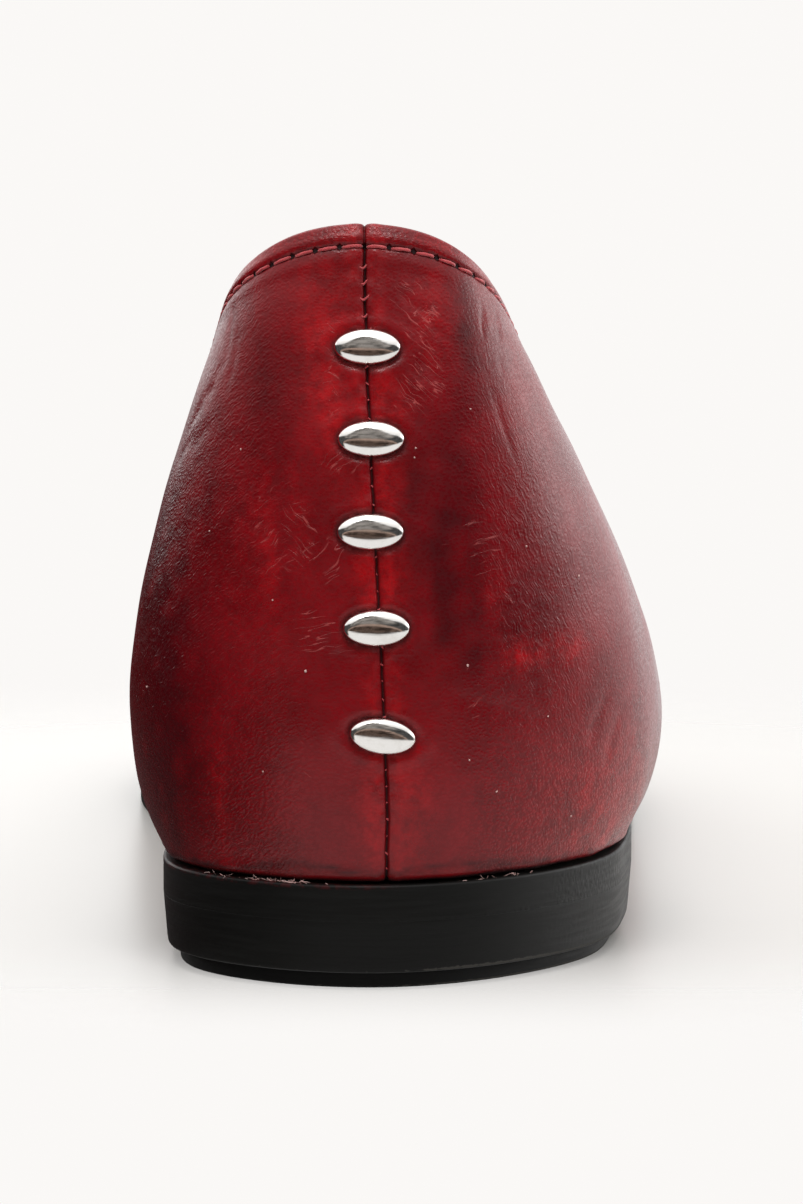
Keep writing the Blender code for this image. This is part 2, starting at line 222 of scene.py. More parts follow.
# Hairline scuffs lie in patches, and each patch's lines belong to one family: how the family's lines turn
# from upright in degrees, and their length
Hairline = namedtuple("Hairline", "turn length")
HAIRLINES = {"rising": Hairline(-50, 1.8), "flat": Hairline(-80, 2.6), "falling": Hairline(48, 2.0)}
Scuff = namedtuple("Scuff", "family height aside tall wide strength")
SCUFFS = table(
    Scuff,
    ("falling", 78, 5.4, 4, 2.8, 1), ("falling", 73.5, 7.4, 5.2, 2.4, 0.9),
    ("falling", 68.2, 6, 3.6, 3.4, 1.1), ("falling", 71, -4.4, 8, 2.8, 0.7),
    ("falling", 52, -9, 7, 5, 0.7), ("falling", 45, 15, 5, 6, 0.6), ("falling", 30, -12, 9, 7, 0.5),
    ("rising", 77, 6.8, 2.4, 1.8, 0.8), ("rising", 71.5, -4.4, 8, 2.4, 0.6),
    ("rising", 60.2, -3, 1.8, 2.6, 1), ("rising", 49.4, -5.2, 2.4, 2.4, 1.2),
    ("rising", 53, -12, 7.5, 6, 0.7), ("rising", 32, 9, 8, 7, 0.5), ("flat", 41, -6.8, 3.8, 4, 1),
    ("flat", 50.5, 12.5, 4.5, 7, 0.8), ("flat", 55, -10, 3.5, 5, 0.7),
)

# Dust: height above the ground, distance beside the seam and size
Speck = namedtuple("Speck", "height aside size")
SPECKS = table(
    Speck,
    (61.6, -15.4, 0.13), (62, 5.2, 0.13), (60.9, 5, 0.10), (52, -20.2, 0.12), (50.2, 18.6, 0.14),
    (46.4, 27, 0.16), (36.9, -8.9, 0.17), (37.2, 10.1, 0.16), (22.4, 13.6, 0.14), (26.4, 9.9, 0.12),
    (33.6, -34, 0.16), (44.6, -12.1, 0.10), (30.8, 21, 0.11), (25, -14.6, 0.11), (18.4, 25.5, 0.13),
    (66, 12, 0.10),
)

# The stain's dark edge, above the feather line: the distance beside the seam, and the height above the foot
StainEdge = namedtuple("StainEdge", "aside height")
FEATHER_EDGE = table(
    StainEdge,
    (-40, 1), (-26, 1), (-20, 0.8), (-15, 1.5), (-10, 2.2), (-6, 1.6), (-1, 1), (3, 1.5), (8, 2),
    (13, 1.5), (24, 1.2), (40, 1),
)

# Lint at the feather line: where each tuft's middle is beside the seam, how far it spreads, and its fibres
Tuft = namedtuple("Tuft", "aside spread fibres")
TUFTS = table(Tuft, (-15, 4.5, 60), (-11, 1.6, 26), (11.5, 3.5, 14), (17, 1.4, 16), (-22, 2, 8))


# --- settings -----------------------------------------------------------------------------------------------


def colour(name, description, default):
    return FloatVectorProperty(
        name=name, description=description, default=default, size=3, min=0, max=1, subtype="COLOR"
    )


def length(name, description, millimetres):
    return FloatProperty(
        name=name, description=description, default=millimetres * MM, min=0, precision=5, unit="LENGTH"
    )


def share(name, description, default, highest=1.0):
    return FloatProperty(
        name=name, description=description, default=default, min=0, max=highest, subtype="FACTOR"
    )


class FLAT_PG_leather(bpy.types.PropertyGroup):
    """Sizes and colours of the upper's leather."""

    dye: colour("Dye", "Colour of the dyed leather", (0.168, 0.0009, 0.0038))
    # Used for burnishing, and for the painted shade on the inner flank
    burnish_and_shade_colour: colour("Burnish", "Colour where the finish has darkened", (0.062, 0.0010, 0.0030))
    # Used where rubbing brightens the dye, and for the highlight painted under the topline
    rub_and_highlight_colour: colour("Rub", "Colour where rubbing has brightened the dye", (0.33, 0.0026, 0.0055))
    scuff: colour("Scuff", "Colour of the hairline scuffs", (0.42, 0.075, 0.07))
    grain: length("Grain", "Size of one pebble of the grain", 0.40)
    grain_depth: length("Grain depth", "Depth of the valleys between the pebbles", 0.042)
    hairline: length("Hairline", "Spacing of the hairline scuffs", 0.2)
    line_depth: length("Line depth", "Depth of the fine lines on the flanks", 0.07)
    band: length("Collar band", "Distance from the topline down to its stitches", 2.5)
    groove: length("Seam groove", "Depth of the back seam's groove", 0.6)
    crease: share("Creases", "Strength of the creases", 1.0, 3.0)
    gloss: share("Gloss", "Weight of the clear finish", 0.12)


class FLAT_PG_thread(bpy.types.PropertyGroup):
    """Sizes and colour of the threads."""

    dye: colour("Thread", "Colour of the thread", (0.60, 0.045, 0.055))
    pitch: length("Stitch", "Length of one stitch of the topline", 2.85)
    width: length("Thread width", "Diameter of the thread", 0.42)
    seam_pitch: length("Seam stitch", "Distance between the threads across the back seam", 2.0)


class FLAT_PG_studs(bpy.types.PropertyGroup):
    """Finish of the studs."""

    metal: colour("Metal", "Colour of the plated metal", (0.79, 0.765, 0.735))
    polish: share("Roughness", "Roughness of the polished dome", 0.075)
    seat: length("Seat", "How far each stud is pressed into the leather", 0.3)


class FLAT_PG_sole(bpy.types.PropertyGroup):
    """Sizes and colours of the outsole, heel and lift."""

    paint: colour("Edge paint", "Colour of the sole's and heel's edges", (0.0036, 0.0036, 0.0032))
    rubber: colour("Lift", "Colour of the lift's rubber", (0.0025, 0.0025, 0.0024))
    worn: colour("Worn edge", "Colour where an edge has worn", (0.040, 0.038, 0.034))
    rounding: length("Rounding", "Radius of the sole's edges", 0.35)


class FLAT_PG_inside(bpy.types.PropertyGroup):
    """Colours of the lining and the sock."""

    lining: colour("Lining", "Colour of the lining leather", (0.50, 0.36, 0.235))
    sock: colour("Sock", "Colour of the sock over the insole", (0.43, 0.30, 0.19))


class FLAT_PG_stage(bpy.types.PropertyGroup):
    """The floor, the light and the camera."""

    paper: colour("Backdrop", "Colour of the backdrop", (0.958, 0.940, 0.923))
    floor: colour("Floor", "Colour of the floor", (0.495, 0.48, 0.457))
    light: FloatProperty(name="Light", description="Strength of the soft light", default=1.0, min=0)
    overhead: FloatProperty(name="Overhead", description="Brightness straight overhead", default=1.7, min=0)
    lamp: FloatProperty(name="Lamp", description="Brightness of the high lamp", default=11.0, min=0)
    panel: FloatProperty(name="Panel", description="Brightness of the panel to the right", default=4.4, min=0)
    glow: FloatProperty(name="Glow", description="Brightness of the glow to the left", default=1.1, min=0)
    room: FloatProperty(name="Room", description="Brightness of the dim room", default=0.06, min=0)
    distance: length("Distance", "From the camera back to the heel", 547)
    height: length("Height", "Of the camera above the floor", 92.6)
    aside: length("Aside", "Of the camera to the outer side", 6.7)
    lens: FloatProperty(name="Lens", description="Focal length", default=0.145, unit="CAMERA")


# --- the last's curves --------------------------------------------------------------------------------------


def closed(values):
    """The values round a ring, with the first repeated at the end."""
    return np.concatenate([values, values[:1]])


def unit(vectors):
    return vectors / np.linalg.norm(vectors, axis=-1, keepdims=True)


def turned(x, y, degrees):
    """x and y as measured on axes turned by degrees."""
    turn = math.radians(degrees)
    return x * math.cos(turn) + y * math.sin(turn), y * math.cos(turn) - x * math.sin(turn)


def ease(value):
    """0 up to value 0, 1 from value 1 on, and level at both."""
    value = np.clip(value, 0, 1)
    return value * value * (3 - 2 * value)


def between(value, start, end):
    """0 before start and 1 after end, level at both. End may be below start."""
    return ease((value - start) / (end - start))


def closed_spline(knots, period, rows, at):
    """Values at some places of the smooth closed curve that passes through rows at knots."""
    count = len(knots)
    gaps = np.diff(np.append(knots, period))
    before = np.roll(gaps, 1)
    slopes = (np.roll(rows, -1, axis=0) - rows) / gaps[:, None]
    matrix = np.diag(2 * (gaps + before))
    for i in range(count):
        matrix[i, (i + 1) % count] += gaps[i]
        matrix[i, i - 1] += before[i]
    bends = np.linalg.solve(matrix, 6 * (slopes - np.roll(slopes, 1, axis=0)))
    at = np.mod(at, period)
    here = np.searchsorted(knots, at, side="right") - 1
    after = (here + 1) % count
    step = (at - knots[here])[:, None]
    gap = gaps[here][:, None]
    cubic = (bends[after] - bends[here]) / (6 * gap)
    linear = slopes[here] - gap * (2 * bends[here] + bends[after]) / 6
    return rows[here] + step * (linear + step * (bends[here] / 2 + step * cubic))


def rib_columns(around):
    """The Rib columns in millimetres, each an array, at fractions of the way round from the back seam."""
    rows = np.array(RIBS) * np.array(RIB_SCALE)
    ahead = np.roll(rows, -1, axis=0) - rows
    steps = np.linalg.norm(ahead[:, 0:2], axis=1) + np.linalg.norm(ahead[:, 6:8], axis=1)
    knots = np.append(0, np.cumsum(steps)[:-1]) / steps.sum()
    return Rib(*closed_spline(knots, 1.0, rows, np.asarray(around, float)).T)


def outward(across, along):
    """Unit vectors square to a line in plan, away from the shoe, from the line's steps."""
    reach = np.hypot(across, along)
    return np.stack([along / reach, -across / reach], axis=-1)


def rib_lines(around):
    """The Rib columns, and the ways out from the shoe at the foot line and at the topline."""
    step = 1e-4
    here, ahead, behind = (rib_columns(around + move) for move in (0, step, -step))
    foot = outward(ahead.foot_across - behind.foot_across, ahead.foot_along - behind.foot_along)
    top = outward(ahead.top_across - behind.top_across, ahead.top_along - behind.top_along)
    return here, foot, top


def heel_sole_bottom():
    return HEEL_LIFT_HEIGHT + GAP + HEEL_BLOCK_HEIGHT + GAP


def sole_bottom(y):
    """The outsole's underside: level on the heel, down at the arch, level on the tread, up at the toe."""
    arch = heel_sole_bottom() * (1 - ease((y - HEEL_BREAST) / (TREAD_BACK - HEEL_BREAST)))
    spring = np.clip((y - TREAD_FRONT) / (LAST_LENGTH - TREAD_FRONT), 0, None)
    return arch + TOE_SPRING * spring**2


def sole_top(y):
    thinning = ease((y - HEEL_BREAST) / (TREAD_BACK - HEEL_BREAST))
    return sole_bottom(y) + HEEL_SOLE_THICKNESS + (TREAD_SOLE_THICKNESS - HEEL_SOLE_THICKNESS) * thinning


def foot_line(around, margin=0.0):
    """Plan points of the line where the upper meets the sole, moved out by margin."""
    here, out, _ = rib_lines(around)
    return np.stack([here.foot_across, here.foot_along + SOLE_MARGIN], axis=-1) + margin * out


def rib_ends(around):
    """The four control points of each rib's curve, shaped (around, 4, 3). The foot stands on the sole."""
    here, foot_out, top_out = rib_lines(around)
    foot_xy = np.stack([here.foot_across, here.foot_along + SOLE_MARGIN], axis=-1)
    top_xy = np.stack([here.top_across, here.top_along + SOLE_MARGIN], axis=-1)
    foot_z = sole_top(foot_xy[:, 1]) + GAP
    top_z = heel_sole_bottom() + HEEL_SOLE_THICKNESS + here.top_height
    ends = (
        np.column_stack([foot_xy, foot_z]),
        np.column_stack([foot_xy + foot_out * here.foot_out[:, None], foot_z + here.foot_up]),
        np.column_stack([top_xy + top_out * here.top_out[:, None], top_z - here.top_down]),
        np.column_stack([top_xy, top_z]),
    )
    return np.stack(ends, axis=1)


def rib_points(ends, up):
    """Points of the outer surface, shaped (around, up, 3), at portions up shaped (around, up) of each rib."""
    t = up[:, :, None]
    weights = ((1 - t) ** 3, 3 * (1 - t) ** 2 * t, 3 * (1 - t) * t**2, t**3)
    return sum(weight * ends[:, None, place] for place, weight in enumerate(weights))


def steps_along(points, axis):
    """Distance travelled along an axis of a grid of points, from its first point."""
    steps = np.linalg.norm(np.diff(points, axis=axis), axis=2)
    start = np.zeros_like(np.take(steps, [0], axis=axis))
    return np.concatenate([start, np.cumsum(steps, axis=axis)], axis=axis)


def last_shift():
    """From the last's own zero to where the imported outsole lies, in millimetres."""
    low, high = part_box("outsole")
    outline = foot_line(np.linspace(0, 1, 2000, endpoint=False), SOLE_MARGIN)
    middle = (Vector(low) + Vector(high)) / 2 / MM
    reach = (outline.min(axis=0) + outline.max(axis=0)) / 2
    return np.array([middle.x - reach[0], middle.y - reach[1], 0.0])


SHIFT = last_shift()


# --- the leather's surface ----------------------------------------------------------------------------------

# points and normals are shaped (around, up, 3), and the rest (around, up): the distance beside the back seam,
# the distance up from the foot and the distance down from the topline, which is negative inside the fold
Shell = namedtuple("Shell", "points normals side above_foot below_top")

# Distances beside the seam between which the heel's relief, and its colours, come in from nothing
RELIEF_FADE = (70, 40)
COLOUR_FADE = (60, 30)
# How far the seam's edges are rounded down, and the distances below the topline between which it flattens
SEAM_ROUNDING = 0.20
SEAM_FLATTENS = (3.0, 1.8)
# Round a stud, as shares of its outline: where the leather goes down, where shade is painted round it, and
# where it swells
STUD_PRESS = (1.22, 0.92)
STUD_SHADE = (1.16, 0.98)
STUD_RING = 1.42
# Where the lining starts, below the topline, how far it is from the leather, and how far it is turned in
LINING_TOP = 2.2
LINING_GAP = 0.08
LINING_TURN = 1.5


def column_places():
    """Fractions round the shoe of the mesh's columns, close together at the back seam."""
    fine = np.linspace(0, 1, 4001)
    middle = rib_points(rib_ends(fine), np.full((len(fine), 1), 0.6))
    travelled = steps_along(middle, 0)[:, 0]
    total = travelled[-1]
    places = [0.0]
    for reach, gap in COLUMN_GAPS:
        while places[-1] < min(reach, total / 2) - gap / 2:
            places.append(places[-1] + gap)
    places = np.array(places) * total / 2 / places[-1]
    return np.interp(np.append(places[:-1], (total - places)[::-1][:-1]), travelled, fine)


def row_portions(ends):
    """Portions of each rib, shaped (around, up), at set distances from the foot and the top, and between."""
    fine = np.linspace(0, 1, 200)
    travelled = steps_along(rib_points(ends, np.tile(fine, (len(ends), 1))), 1)
    portions = []
    for line in travelled:
        middle = np.linspace(FOOT_ROWS[-1], line[-1] - TOP_ROWS[0], MIDDLE_ROWS + 2)[1:-1]
        wanted = np.concatenate([FOOT_ROWS, middle, line[-1] - np.array(TOP_ROWS)])
        portions.append(np.interp(wanted, line, fine))
    return np.array(portions), travelled[:, -1]


def surface_normals(points):
    around = np.roll(points, -1, axis=0) - np.roll(points, 1, axis=0)
    return unit(np.cross(around, np.gradient(points, axis=1)))


def bare_shell():
    """The outer surface with no seam, creases or stitches in it."""
    ends = rib_ends(column_places())
    portions, lengths = row_portions(ends)
    points = rib_points(ends, portions)
    travelled = steps_along(closed(points), 0)
    outer = travelled[:-1]
    inner = outer - travelled[-1]
    half = (np.arange(len(points)) <= len(points) // 2)[:, None]
    above_foot = steps_along(points, 1)
    below_top = lengths[:, None] - above_foot
    return Shell(points, surface_normals(points), np.where(half, outer, inner), above_foot, below_top)


def row_below(shell, below):
    """The number of the row nearest to a distance below the topline."""
    return np.abs(shell.below_top[0] - below).argmin()


def wander(at, reach, seed):
    """A smooth, irregular line of about ±1 whose longest wave is reach."""
    draw = np.random.default_rng(seed)
    waves = ((1.0, 0.5), (0.57, 0.3), (0.31, 0.2))
    return sum(
        weight * np.sin(2 * np.pi * at / (reach * part) + draw.uniform(0, 2 * np.pi))
        for part, weight in waves
    )


def ripples(side, height, reach, seed, waves=9):
    """Soft unevenness of about ±1 over the surface: waves in many directions."""
    draw = np.random.default_rng(seed)
    total = np.zeros_like(side)
    for _ in range(waves):
        turn, size = draw.uniform(0, np.pi), reach * draw.uniform(0.6, 1.6)
        along = side * math.cos(turn) + height * math.sin(turn)
        total += np.sin(2 * np.pi * along / size + draw.uniform(0, 2 * np.pi))
    return total / math.sqrt(waves)


def bell(value, width):
    return np.exp(-((value / width) ** 2))


def groove_line(height):
    """How far the seam's groove wanders to either side."""
    return 0.07 * wander(height, 9, 4) + 0.04 * wander(height, 2.3, 5)


def seam_relief(side, height, depth):
    """The closed back seam: a sharp groove between two rounded, slightly puffed edges."""
    beside = side - groove_line(height)
    apart = np.abs(beside)
    uneven = 1 + 0.25 * wander(height, 3.1, 6)
    lips = 0.11 * bell(apart - 1.2, 0.6) * (1 + 0.5 * wander(height + 7 * np.sign(side), 4.4, 7))
    puckers = 0.05 * bell(apart - 0.6, 0.35) * np.cos(np.pi * height + 0.6 * wander(height, 5, 9))
    groove = (depth - SEAM_ROUNDING) * uneven * np.exp(-((apart / 0.14) ** 1.6))
    return lips + puckers - SEAM_ROUNDING * bell(beside, 0.55) - groove


def collar_relief(below_top, band, along):
    """The folded collar: a puffed band, a narrow stitched channel and a soft swell under it."""
    puff = 0.30 * bell(below_top - 0.6 * band, 0.36 * band)
    channel = 0.22 * bell(below_top - band, 0.30) * (1 + 0.3 * np.cos(2 * np.pi * along))
    swell = 0.10 * bell(below_top - band - 1.4, 0.9)
    return puff - channel + swell


def crease_relief(side, height):
    """The creases, each fading out towards its ends."""
    total = np.zeros_like(side)
    for crease in CREASES:
        across, along = turned(side - crease.aside, height - crease.height, crease.turn)
        along = along * 2 / crease.length
        across = across - crease.bow * (along**2 - 0.3)
        total += crease.depth * bell(across, crease.width) * between(np.abs(along), 1, 0.35)
    return total


def stud_reach(side, above_foot, seats):
    """How far each point is from the nearest stud, where 1 is the stud's outline."""
    nearest = np.full_like(side, 9.0)
    for stud, seat in zip(STUDS, seats):
        across, up = turned(side - stud.aside, above_foot - seat, stud.tilt)
        nearest = np.minimum(nearest, np.hypot(across / (STUD_WIDTH / 2), up / (STUD_HEIGHT / 2)))
    return nearest


def patch_cover(side, height, patches):
    """How much the patches cover each point, from 0 to 1, with ragged edges."""
    total = np.zeros_like(side)
    for patch in patches:
        x = (side - patch.aside) / patch.wide
        y = (height - patch.height) / patch.tall
        total += patch.strength * np.exp(-(x**2) - y**2)
    return np.clip(total * (1 + 0.30 * ripples(side, height, 5, 21)), 0, 1)


def topline_stitches(shell, band, pitch):
    """Distance round the stitch line from the back seam, in stitches, shaped (around + 1, 1)."""
    row = row_below(shell, band)
    travelled = steps_along(closed(shell.points[:, row : row + 1]), 0)
    return travelled / travelled[-1] * round(travelled[-1, 0] / pitch)


def shaped_shell(scene):
    """The leather with its seam, collar, creases and stud seats, how far round each column is in stitches,
    and how far each point is from a stud."""
    leather = scene.flat_leather
    band = leather.band / MM
    bare = bare_shell()
    side, above_foot, below_top = bare.side, bare.above_foot, bare.below_top
    height = bare.points[:, :, 2]
    along = topline_stitches(bare, band, scene.flat_thread.pitch / MM)
    seats = [np.interp(stud.height, height[0], above_foot[0]) for stud in STUDS]
    reach = stud_reach(side, above_foot, seats)
    heel = between(np.abs(side), *RELIEF_FADE)

    relief = seam_relief(side, height, leather.groove / MM) * (1 - 0.45 * between(below_top, *SEAM_FLATTENS))
    relief += (0.4 + 0.6 * heel) * collar_relief(below_top, band, along[:-1])
    relief += leather.crease * heel * crease_relief(side, height)
    relief += 0.05 * ripples(side, above_foot, 16, 3) * between(below_top, 1, 8)
    pressed = between(reach, *STUD_PRESS)
    relief = relief * (1 - pressed) - scene.flat_studs.seat / MM * pressed
    relief += 0.10 * bell(reach - STUD_RING, 0.22)
    # the leather is drawn in at its foot, under a soft roll
    relief -= 0.18 * between(above_foot, 0.7, 0.0) * (1 + 0.5 * wander(side, 11, 14))
    relief += 0.16 * bell(above_foot - 1.1, 0.7) * (1 + wander(side, 13, 15))

    roll, roll_below = rolled_edge(bare, relief[:, -1])
    points = np.concatenate(
        [bare.points + bare.normals * relief[:, :, None], roll, folded_inside(bare)], axis=1
    )
    inside = np.append(roll_below, -np.array(FOLD_ROWS) - WALL)
    below_top = np.concatenate([below_top, np.tile(inside, (len(points), 1))], axis=1)

    def carried(field):
        """A field that stays the same from the last outer row over the rim and inside."""
        return np.pad(field, ((0, 0), (0, len(inside))), mode="edge")

    shell = Shell(points, surface_normals(points), carried(side), carried(above_foot), below_top)
    return shell, along, carried(reach)


def rolled_edge(bare, relief):
    """The collar's rim: half a turn from the last row of the outer surface over to the inside."""
    radius = WALL / 2
    edge, normal = bare.points[:, -1], bare.normals[:, -1]
    up = unit(edge - bare.points[:, -2])
    angles = np.linspace(0, np.pi, ROLL_STEPS + 1)[1:]
    kept = np.maximum((1 + np.cos(angles)) / 2, 0.35 * (angles < 2.6))
    spread = (radius + relief[:, None] * kept)[:, :, None]
    over = np.sign(np.cos(angles)) * np.abs(np.cos(angles)) ** 0.75
    rise = np.sin(angles) ** 0.75 * 1.25
    middle = (edge - normal * radius)[:, None]
    roll = middle + spread * over[:, None] * normal[:, None] + spread * rise[:, None] * up[:, None]
    return roll, bare.below_top[0, -1] - radius * angles


def folded_inside(bare):
    """The leather turned over the rim and glued to the inside, down to the last of FOLD_ROWS."""
    rows = [row_below(bare, below) for below in FOLD_ROWS]
    return bare.points[:, rows] - bare.normals[:, rows] * WALL


# --- meshes and objects -------------------------------------------------------------------------------------


def to_metres(points):
    return (np.asarray(points, float) + SHIFT) * MM


def piece(name, mesh, material, replaced=()):
    """An object of the shoe that rides on its one body."""
    mesh.materials.append(material)
    made = bpy.data.objects.new(name, mesh)
    home = bpy.data.collections.get(COLLECTION) or bpy.data.collections.new(COLLECTION)
    if COLLECTION not in bpy.context.scene.collection.children:
        bpy.context.scene.collection.children.link(home)
    home.objects.link(made)
    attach(made, "root")
    if replaced:
        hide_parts(*replaced)


def with_field(mesh, name, values):
    values = np.asarray(values, np.float32).ravel()
    mesh.attributes.new(name, "FLOAT", "POINT").data.foreach_set("value", values)


def grid_mesh(name, points, maps=None, fields=None):
    """A smooth mesh, closed round the shoe, from points shaped (around, up, 3). Fields are (around, up), and
    maps (around + 1, up, 2)."""
    around, up = points.shape[:2]
    i, j = np.meshgrid(np.arange(around), np.arange(up - 1), indexing="ij")
    steps = ((0, 0), (1, 0), (1, 1), (0, 1))
    corners = np.stack([(i + a) % around * up + j + b for a, b in steps], axis=-1).reshape(-1, 4)
    mesh = bpy.data.meshes.new(name)
    mesh.from_pydata(to_metres(points).reshape(-1, 3), [], corners.tolist())
    spots = np.stack([(i + a) * up + j + b for a, b in steps], axis=-1).ravel()
    for label, values in (maps or {}).items():
        layer = mesh.uv_layers.new(name=label)
        layer.data.foreach_set("uv", values.reshape(-1, 2)[spots].astype(np.float32).ravel())
    for label, values in (fields or {}).items():
        with_field(mesh, label, values)
    mesh.shade_smooth()
    return mesh


def paired(first, second):
    """A map for grid_mesh from the values across and up it."""
    return np.stack(np.broadcast_arrays(first, second), axis=-1)


def joined_piece(name, parts, material, replaced=()):
    """A smooth piece made of (points, faces) pairs in millimetres."""
    points, faces, start = [], [], 0
    for part_points, part_faces in parts:
        points.append(part_points)
        faces += [[corner + start for corner in face] for face in part_faces]
        start += len(part_points)
    mesh = bpy.data.meshes.new(name)
    mesh.from_pydata(to_metres(np.concatenate(points)), [], faces)
    mesh.shade_smooth()
    piece(name, mesh, material, replaced)


def tube(path, side, up, radii, sides, twist=0.0, lobes=0.0):
    """(points, faces) of a closed tube along path. Lobes give it the two plies of a twisted thread."""
    turns = np.arange(sides) * 2 * np.pi / sides
    count = len(path)
    lean = twist * 2 * np.pi * np.linspace(0, 1, count)[:, None]
    reach = radii[:, None] * (1 - lobes + lobes * np.abs(np.cos(turns - lean)))
    rings = path[:, None] + reach[:, :, None] * (
        np.cos(turns)[:, None] * side[:, None] + np.sin(turns)[:, None] * up[:, None]
    )
    points = np.concatenate([rings.reshape(-1, 3), path[:1], path[-1:]])
    faces = []
    for ring in range(count - 1):
        for k in range(sides):
            a, b = ring * sides + k, ring * sides + (k + 1) % sides
            faces.append((a, b, b + sides, a + sides))
    first, last = count * sides, count * sides + 1
    for k in range(sides):
        after = (k + 1) % sides
        faces.append((first, after, k))
        faces.append((last, (count - 1) * sides + k, (count - 1) * sides + after))
    return points, faces


# --- shader nodes -------------------------------------------------------------------------------------------


def opaque(shade):
    """A colour with its alpha. A socket stays as it is."""
    return shade if isinstance(shade, bpy.types.NodeSocket) else (*shade, 1.0)


def deeper(rgb, factor):
    return [factor * part for part in rgb]


class Nodes:
    """Adds nodes to one shader tree and joins them up."""

    def __init__(self, tree):
        self.tree = tree

    def put(self, value, socket):
        if isinstance(value, bpy.types.NodeSocket):
            self.tree.links.new(value, socket)
        else:
            socket.default_value = value

    def feed(self, node, inputs):
        """Sets or joins a node's inputs by their names or places."""
        for name, value in inputs.items():
            self.put(value, node.inputs[name])

    def add(self, kind, inputs=None, **settings):
        made = self.tree.nodes.new("ShaderNode" + kind)
        for name, value in settings.items():
            setattr(made, name, value)
        self.feed(made, inputs or {})
        return made

    def group(self, made, inputs):
        """The outputs of a node group placed with its own values."""
        node = self.add("Group", node_tree=made)
        self.feed(node, inputs)
        return node.outputs

    def math(self, operation, *values, clamp=False):
        return self.add("Math", dict(enumerate(values)), operation=operation, use_clamp=clamp).outputs[0]

    def plus(self, first, second, clamp=False):
        return self.math("ADD", first, second, clamp=clamp)

    def minus(self, first, second):
        return self.math("SUBTRACT", first, second)

    def times(self, first, second):
        return self.math("MULTIPLY", first, second)

    def times_plus(self, first, second, added):
        return self.math("MULTIPLY_ADD", first, second, added)

    def size(self, value):
        """The value without its sign."""
        return self.math("ABSOLUTE", value)

    def vector(self, operation, first, second):
        return self.add("VectorMath", {0: first, 1: second}, operation=operation).outputs["Vector"]

    def scaled(self, vector, factor):
        return self.add("VectorMath", {0: vector, "Scale": factor}, operation="SCALE").outputs["Vector"]

    def turned(self, vector, angle):
        inputs = {"Vector": vector, "Angle": angle}
        return self.add("VectorRotate", inputs, rotation_type="Z_AXIS").outputs["Vector"]

    def drifted(self, vector, scale, detail, reach):
        """A place moved about by soft noise, so that what is drawn there isn't straight."""
        drift = self.noise(vector, scale, detail, output="Color")
        return self.vector("ADD", vector, self.scaled(drift, reach))

    def parts(self, vector):
        """The X, Y and Z of a vector, by name."""
        return self.add("SeparateXYZ", {0: vector}).outputs

    def step(self, value, low, high, start=0.0, end=1.0):
        """From start, below low, smoothly to end, above high."""
        inputs = {"Value": value, "From Min": low, "From Max": high, "To Min": start, "To Max": end}
        return self.add("MapRange", inputs, interpolation_type="SMOOTHSTEP").outputs["Result"]

    def mix(self, factor, first, second, blend="MIX"):
        inputs = {0: factor, 6: opaque(first), 7: opaque(second)}
        return self.add("Mix", inputs, data_type="RGBA", blend_type=blend).outputs[2]

    def grey(self, value):
        return self.add("CombineColor", {0: value, 1: value, 2: value}).outputs[0]

    def toned(self, shade, value):
        """A colour times a value."""
        return self.mix(1.0, shade, self.grey(value), "MULTIPLY")

    def noise(self, place, scale=1.0, detail=2.0, roughness=0.5, output="Fac"):
        inputs = {"Vector": place, "Scale": scale, "Detail": detail, "Roughness": roughness}
        return self.add("TexNoise", inputs).outputs[output]

    def field(self, name):
        return self.add("Attribute", attribute_name=name, attribute_type="GEOMETRY").outputs["Fac"]

    def map(self, name):
        return self.add("UVMap", uv_map=name).outputs["UV"]

    def millimetres(self):
        """The place on the shoe, in millimetres."""
        return self.scaled(self.add("TexCoord").outputs["Object"], 1 / MM)

    def bump(self, height, depth, normal=None):
        """A normal bent by height, from 0 to 1, where 1 stands depth millimetres proud."""
        inputs = {"Height": height, "Distance": depth * MM, "Strength": 1.0}
        if normal is not None:
            inputs["Normal"] = normal
        return self.add("Bump", inputs).outputs["Normal"]


def new_group(name, inputs, output):
    """An empty shader group: its Nodes, its inputs' sockets and its output's. A place has no default."""
    tree = bpy.data.node_groups.new(name, "ShaderNodeTree")
    for label, default in inputs.items():
        kind = "NodeSocketFloat" if isinstance(default, float) else "NodeSocketVector"
        socket = tree.interface.new_socket(label, in_out="INPUT", socket_type=kind)
        if default is not None:
            socket.default_value = default
    tree.interface.new_socket(output, in_out="OUTPUT", socket_type="NodeSocketFloat")
    into, out = (tree.nodes.new("NodeGroup" + end) for end in ("Input", "Output"))
    return Nodes(tree), into.outputs, out.inputs[output]


def build_grain(name):
    """Rounded pebbles with fine grain on them."""
    inputs = {"Place": None, "Cell": 0.5, "Stretch": (1, 1, 1)}
    nodes, given, out = new_group(name, inputs, "Height")
    cells = nodes.vector("DIVIDE", given["Place"], given["Stretch"])
    cells = nodes.drifted(nodes.vector("DIVIDE", cells, given["Cell"]), 0.45, 2, 0.8)
    inputs = {"Vector": cells, "Scale": 1.0, "Smoothness": 0.2}
    pebbles = nodes.add("TexVoronoi", inputs, feature="SMOOTH_F1")
    rounded = nodes.step(pebbles.outputs["Distance"], 0.72, 0.12)
    fine = nodes.noise(cells, 3.1, 2)
    nodes.put(nodes.times_plus(fine, 0.22, nodes.times(rounded, 0.78)), out)
    return nodes.tree


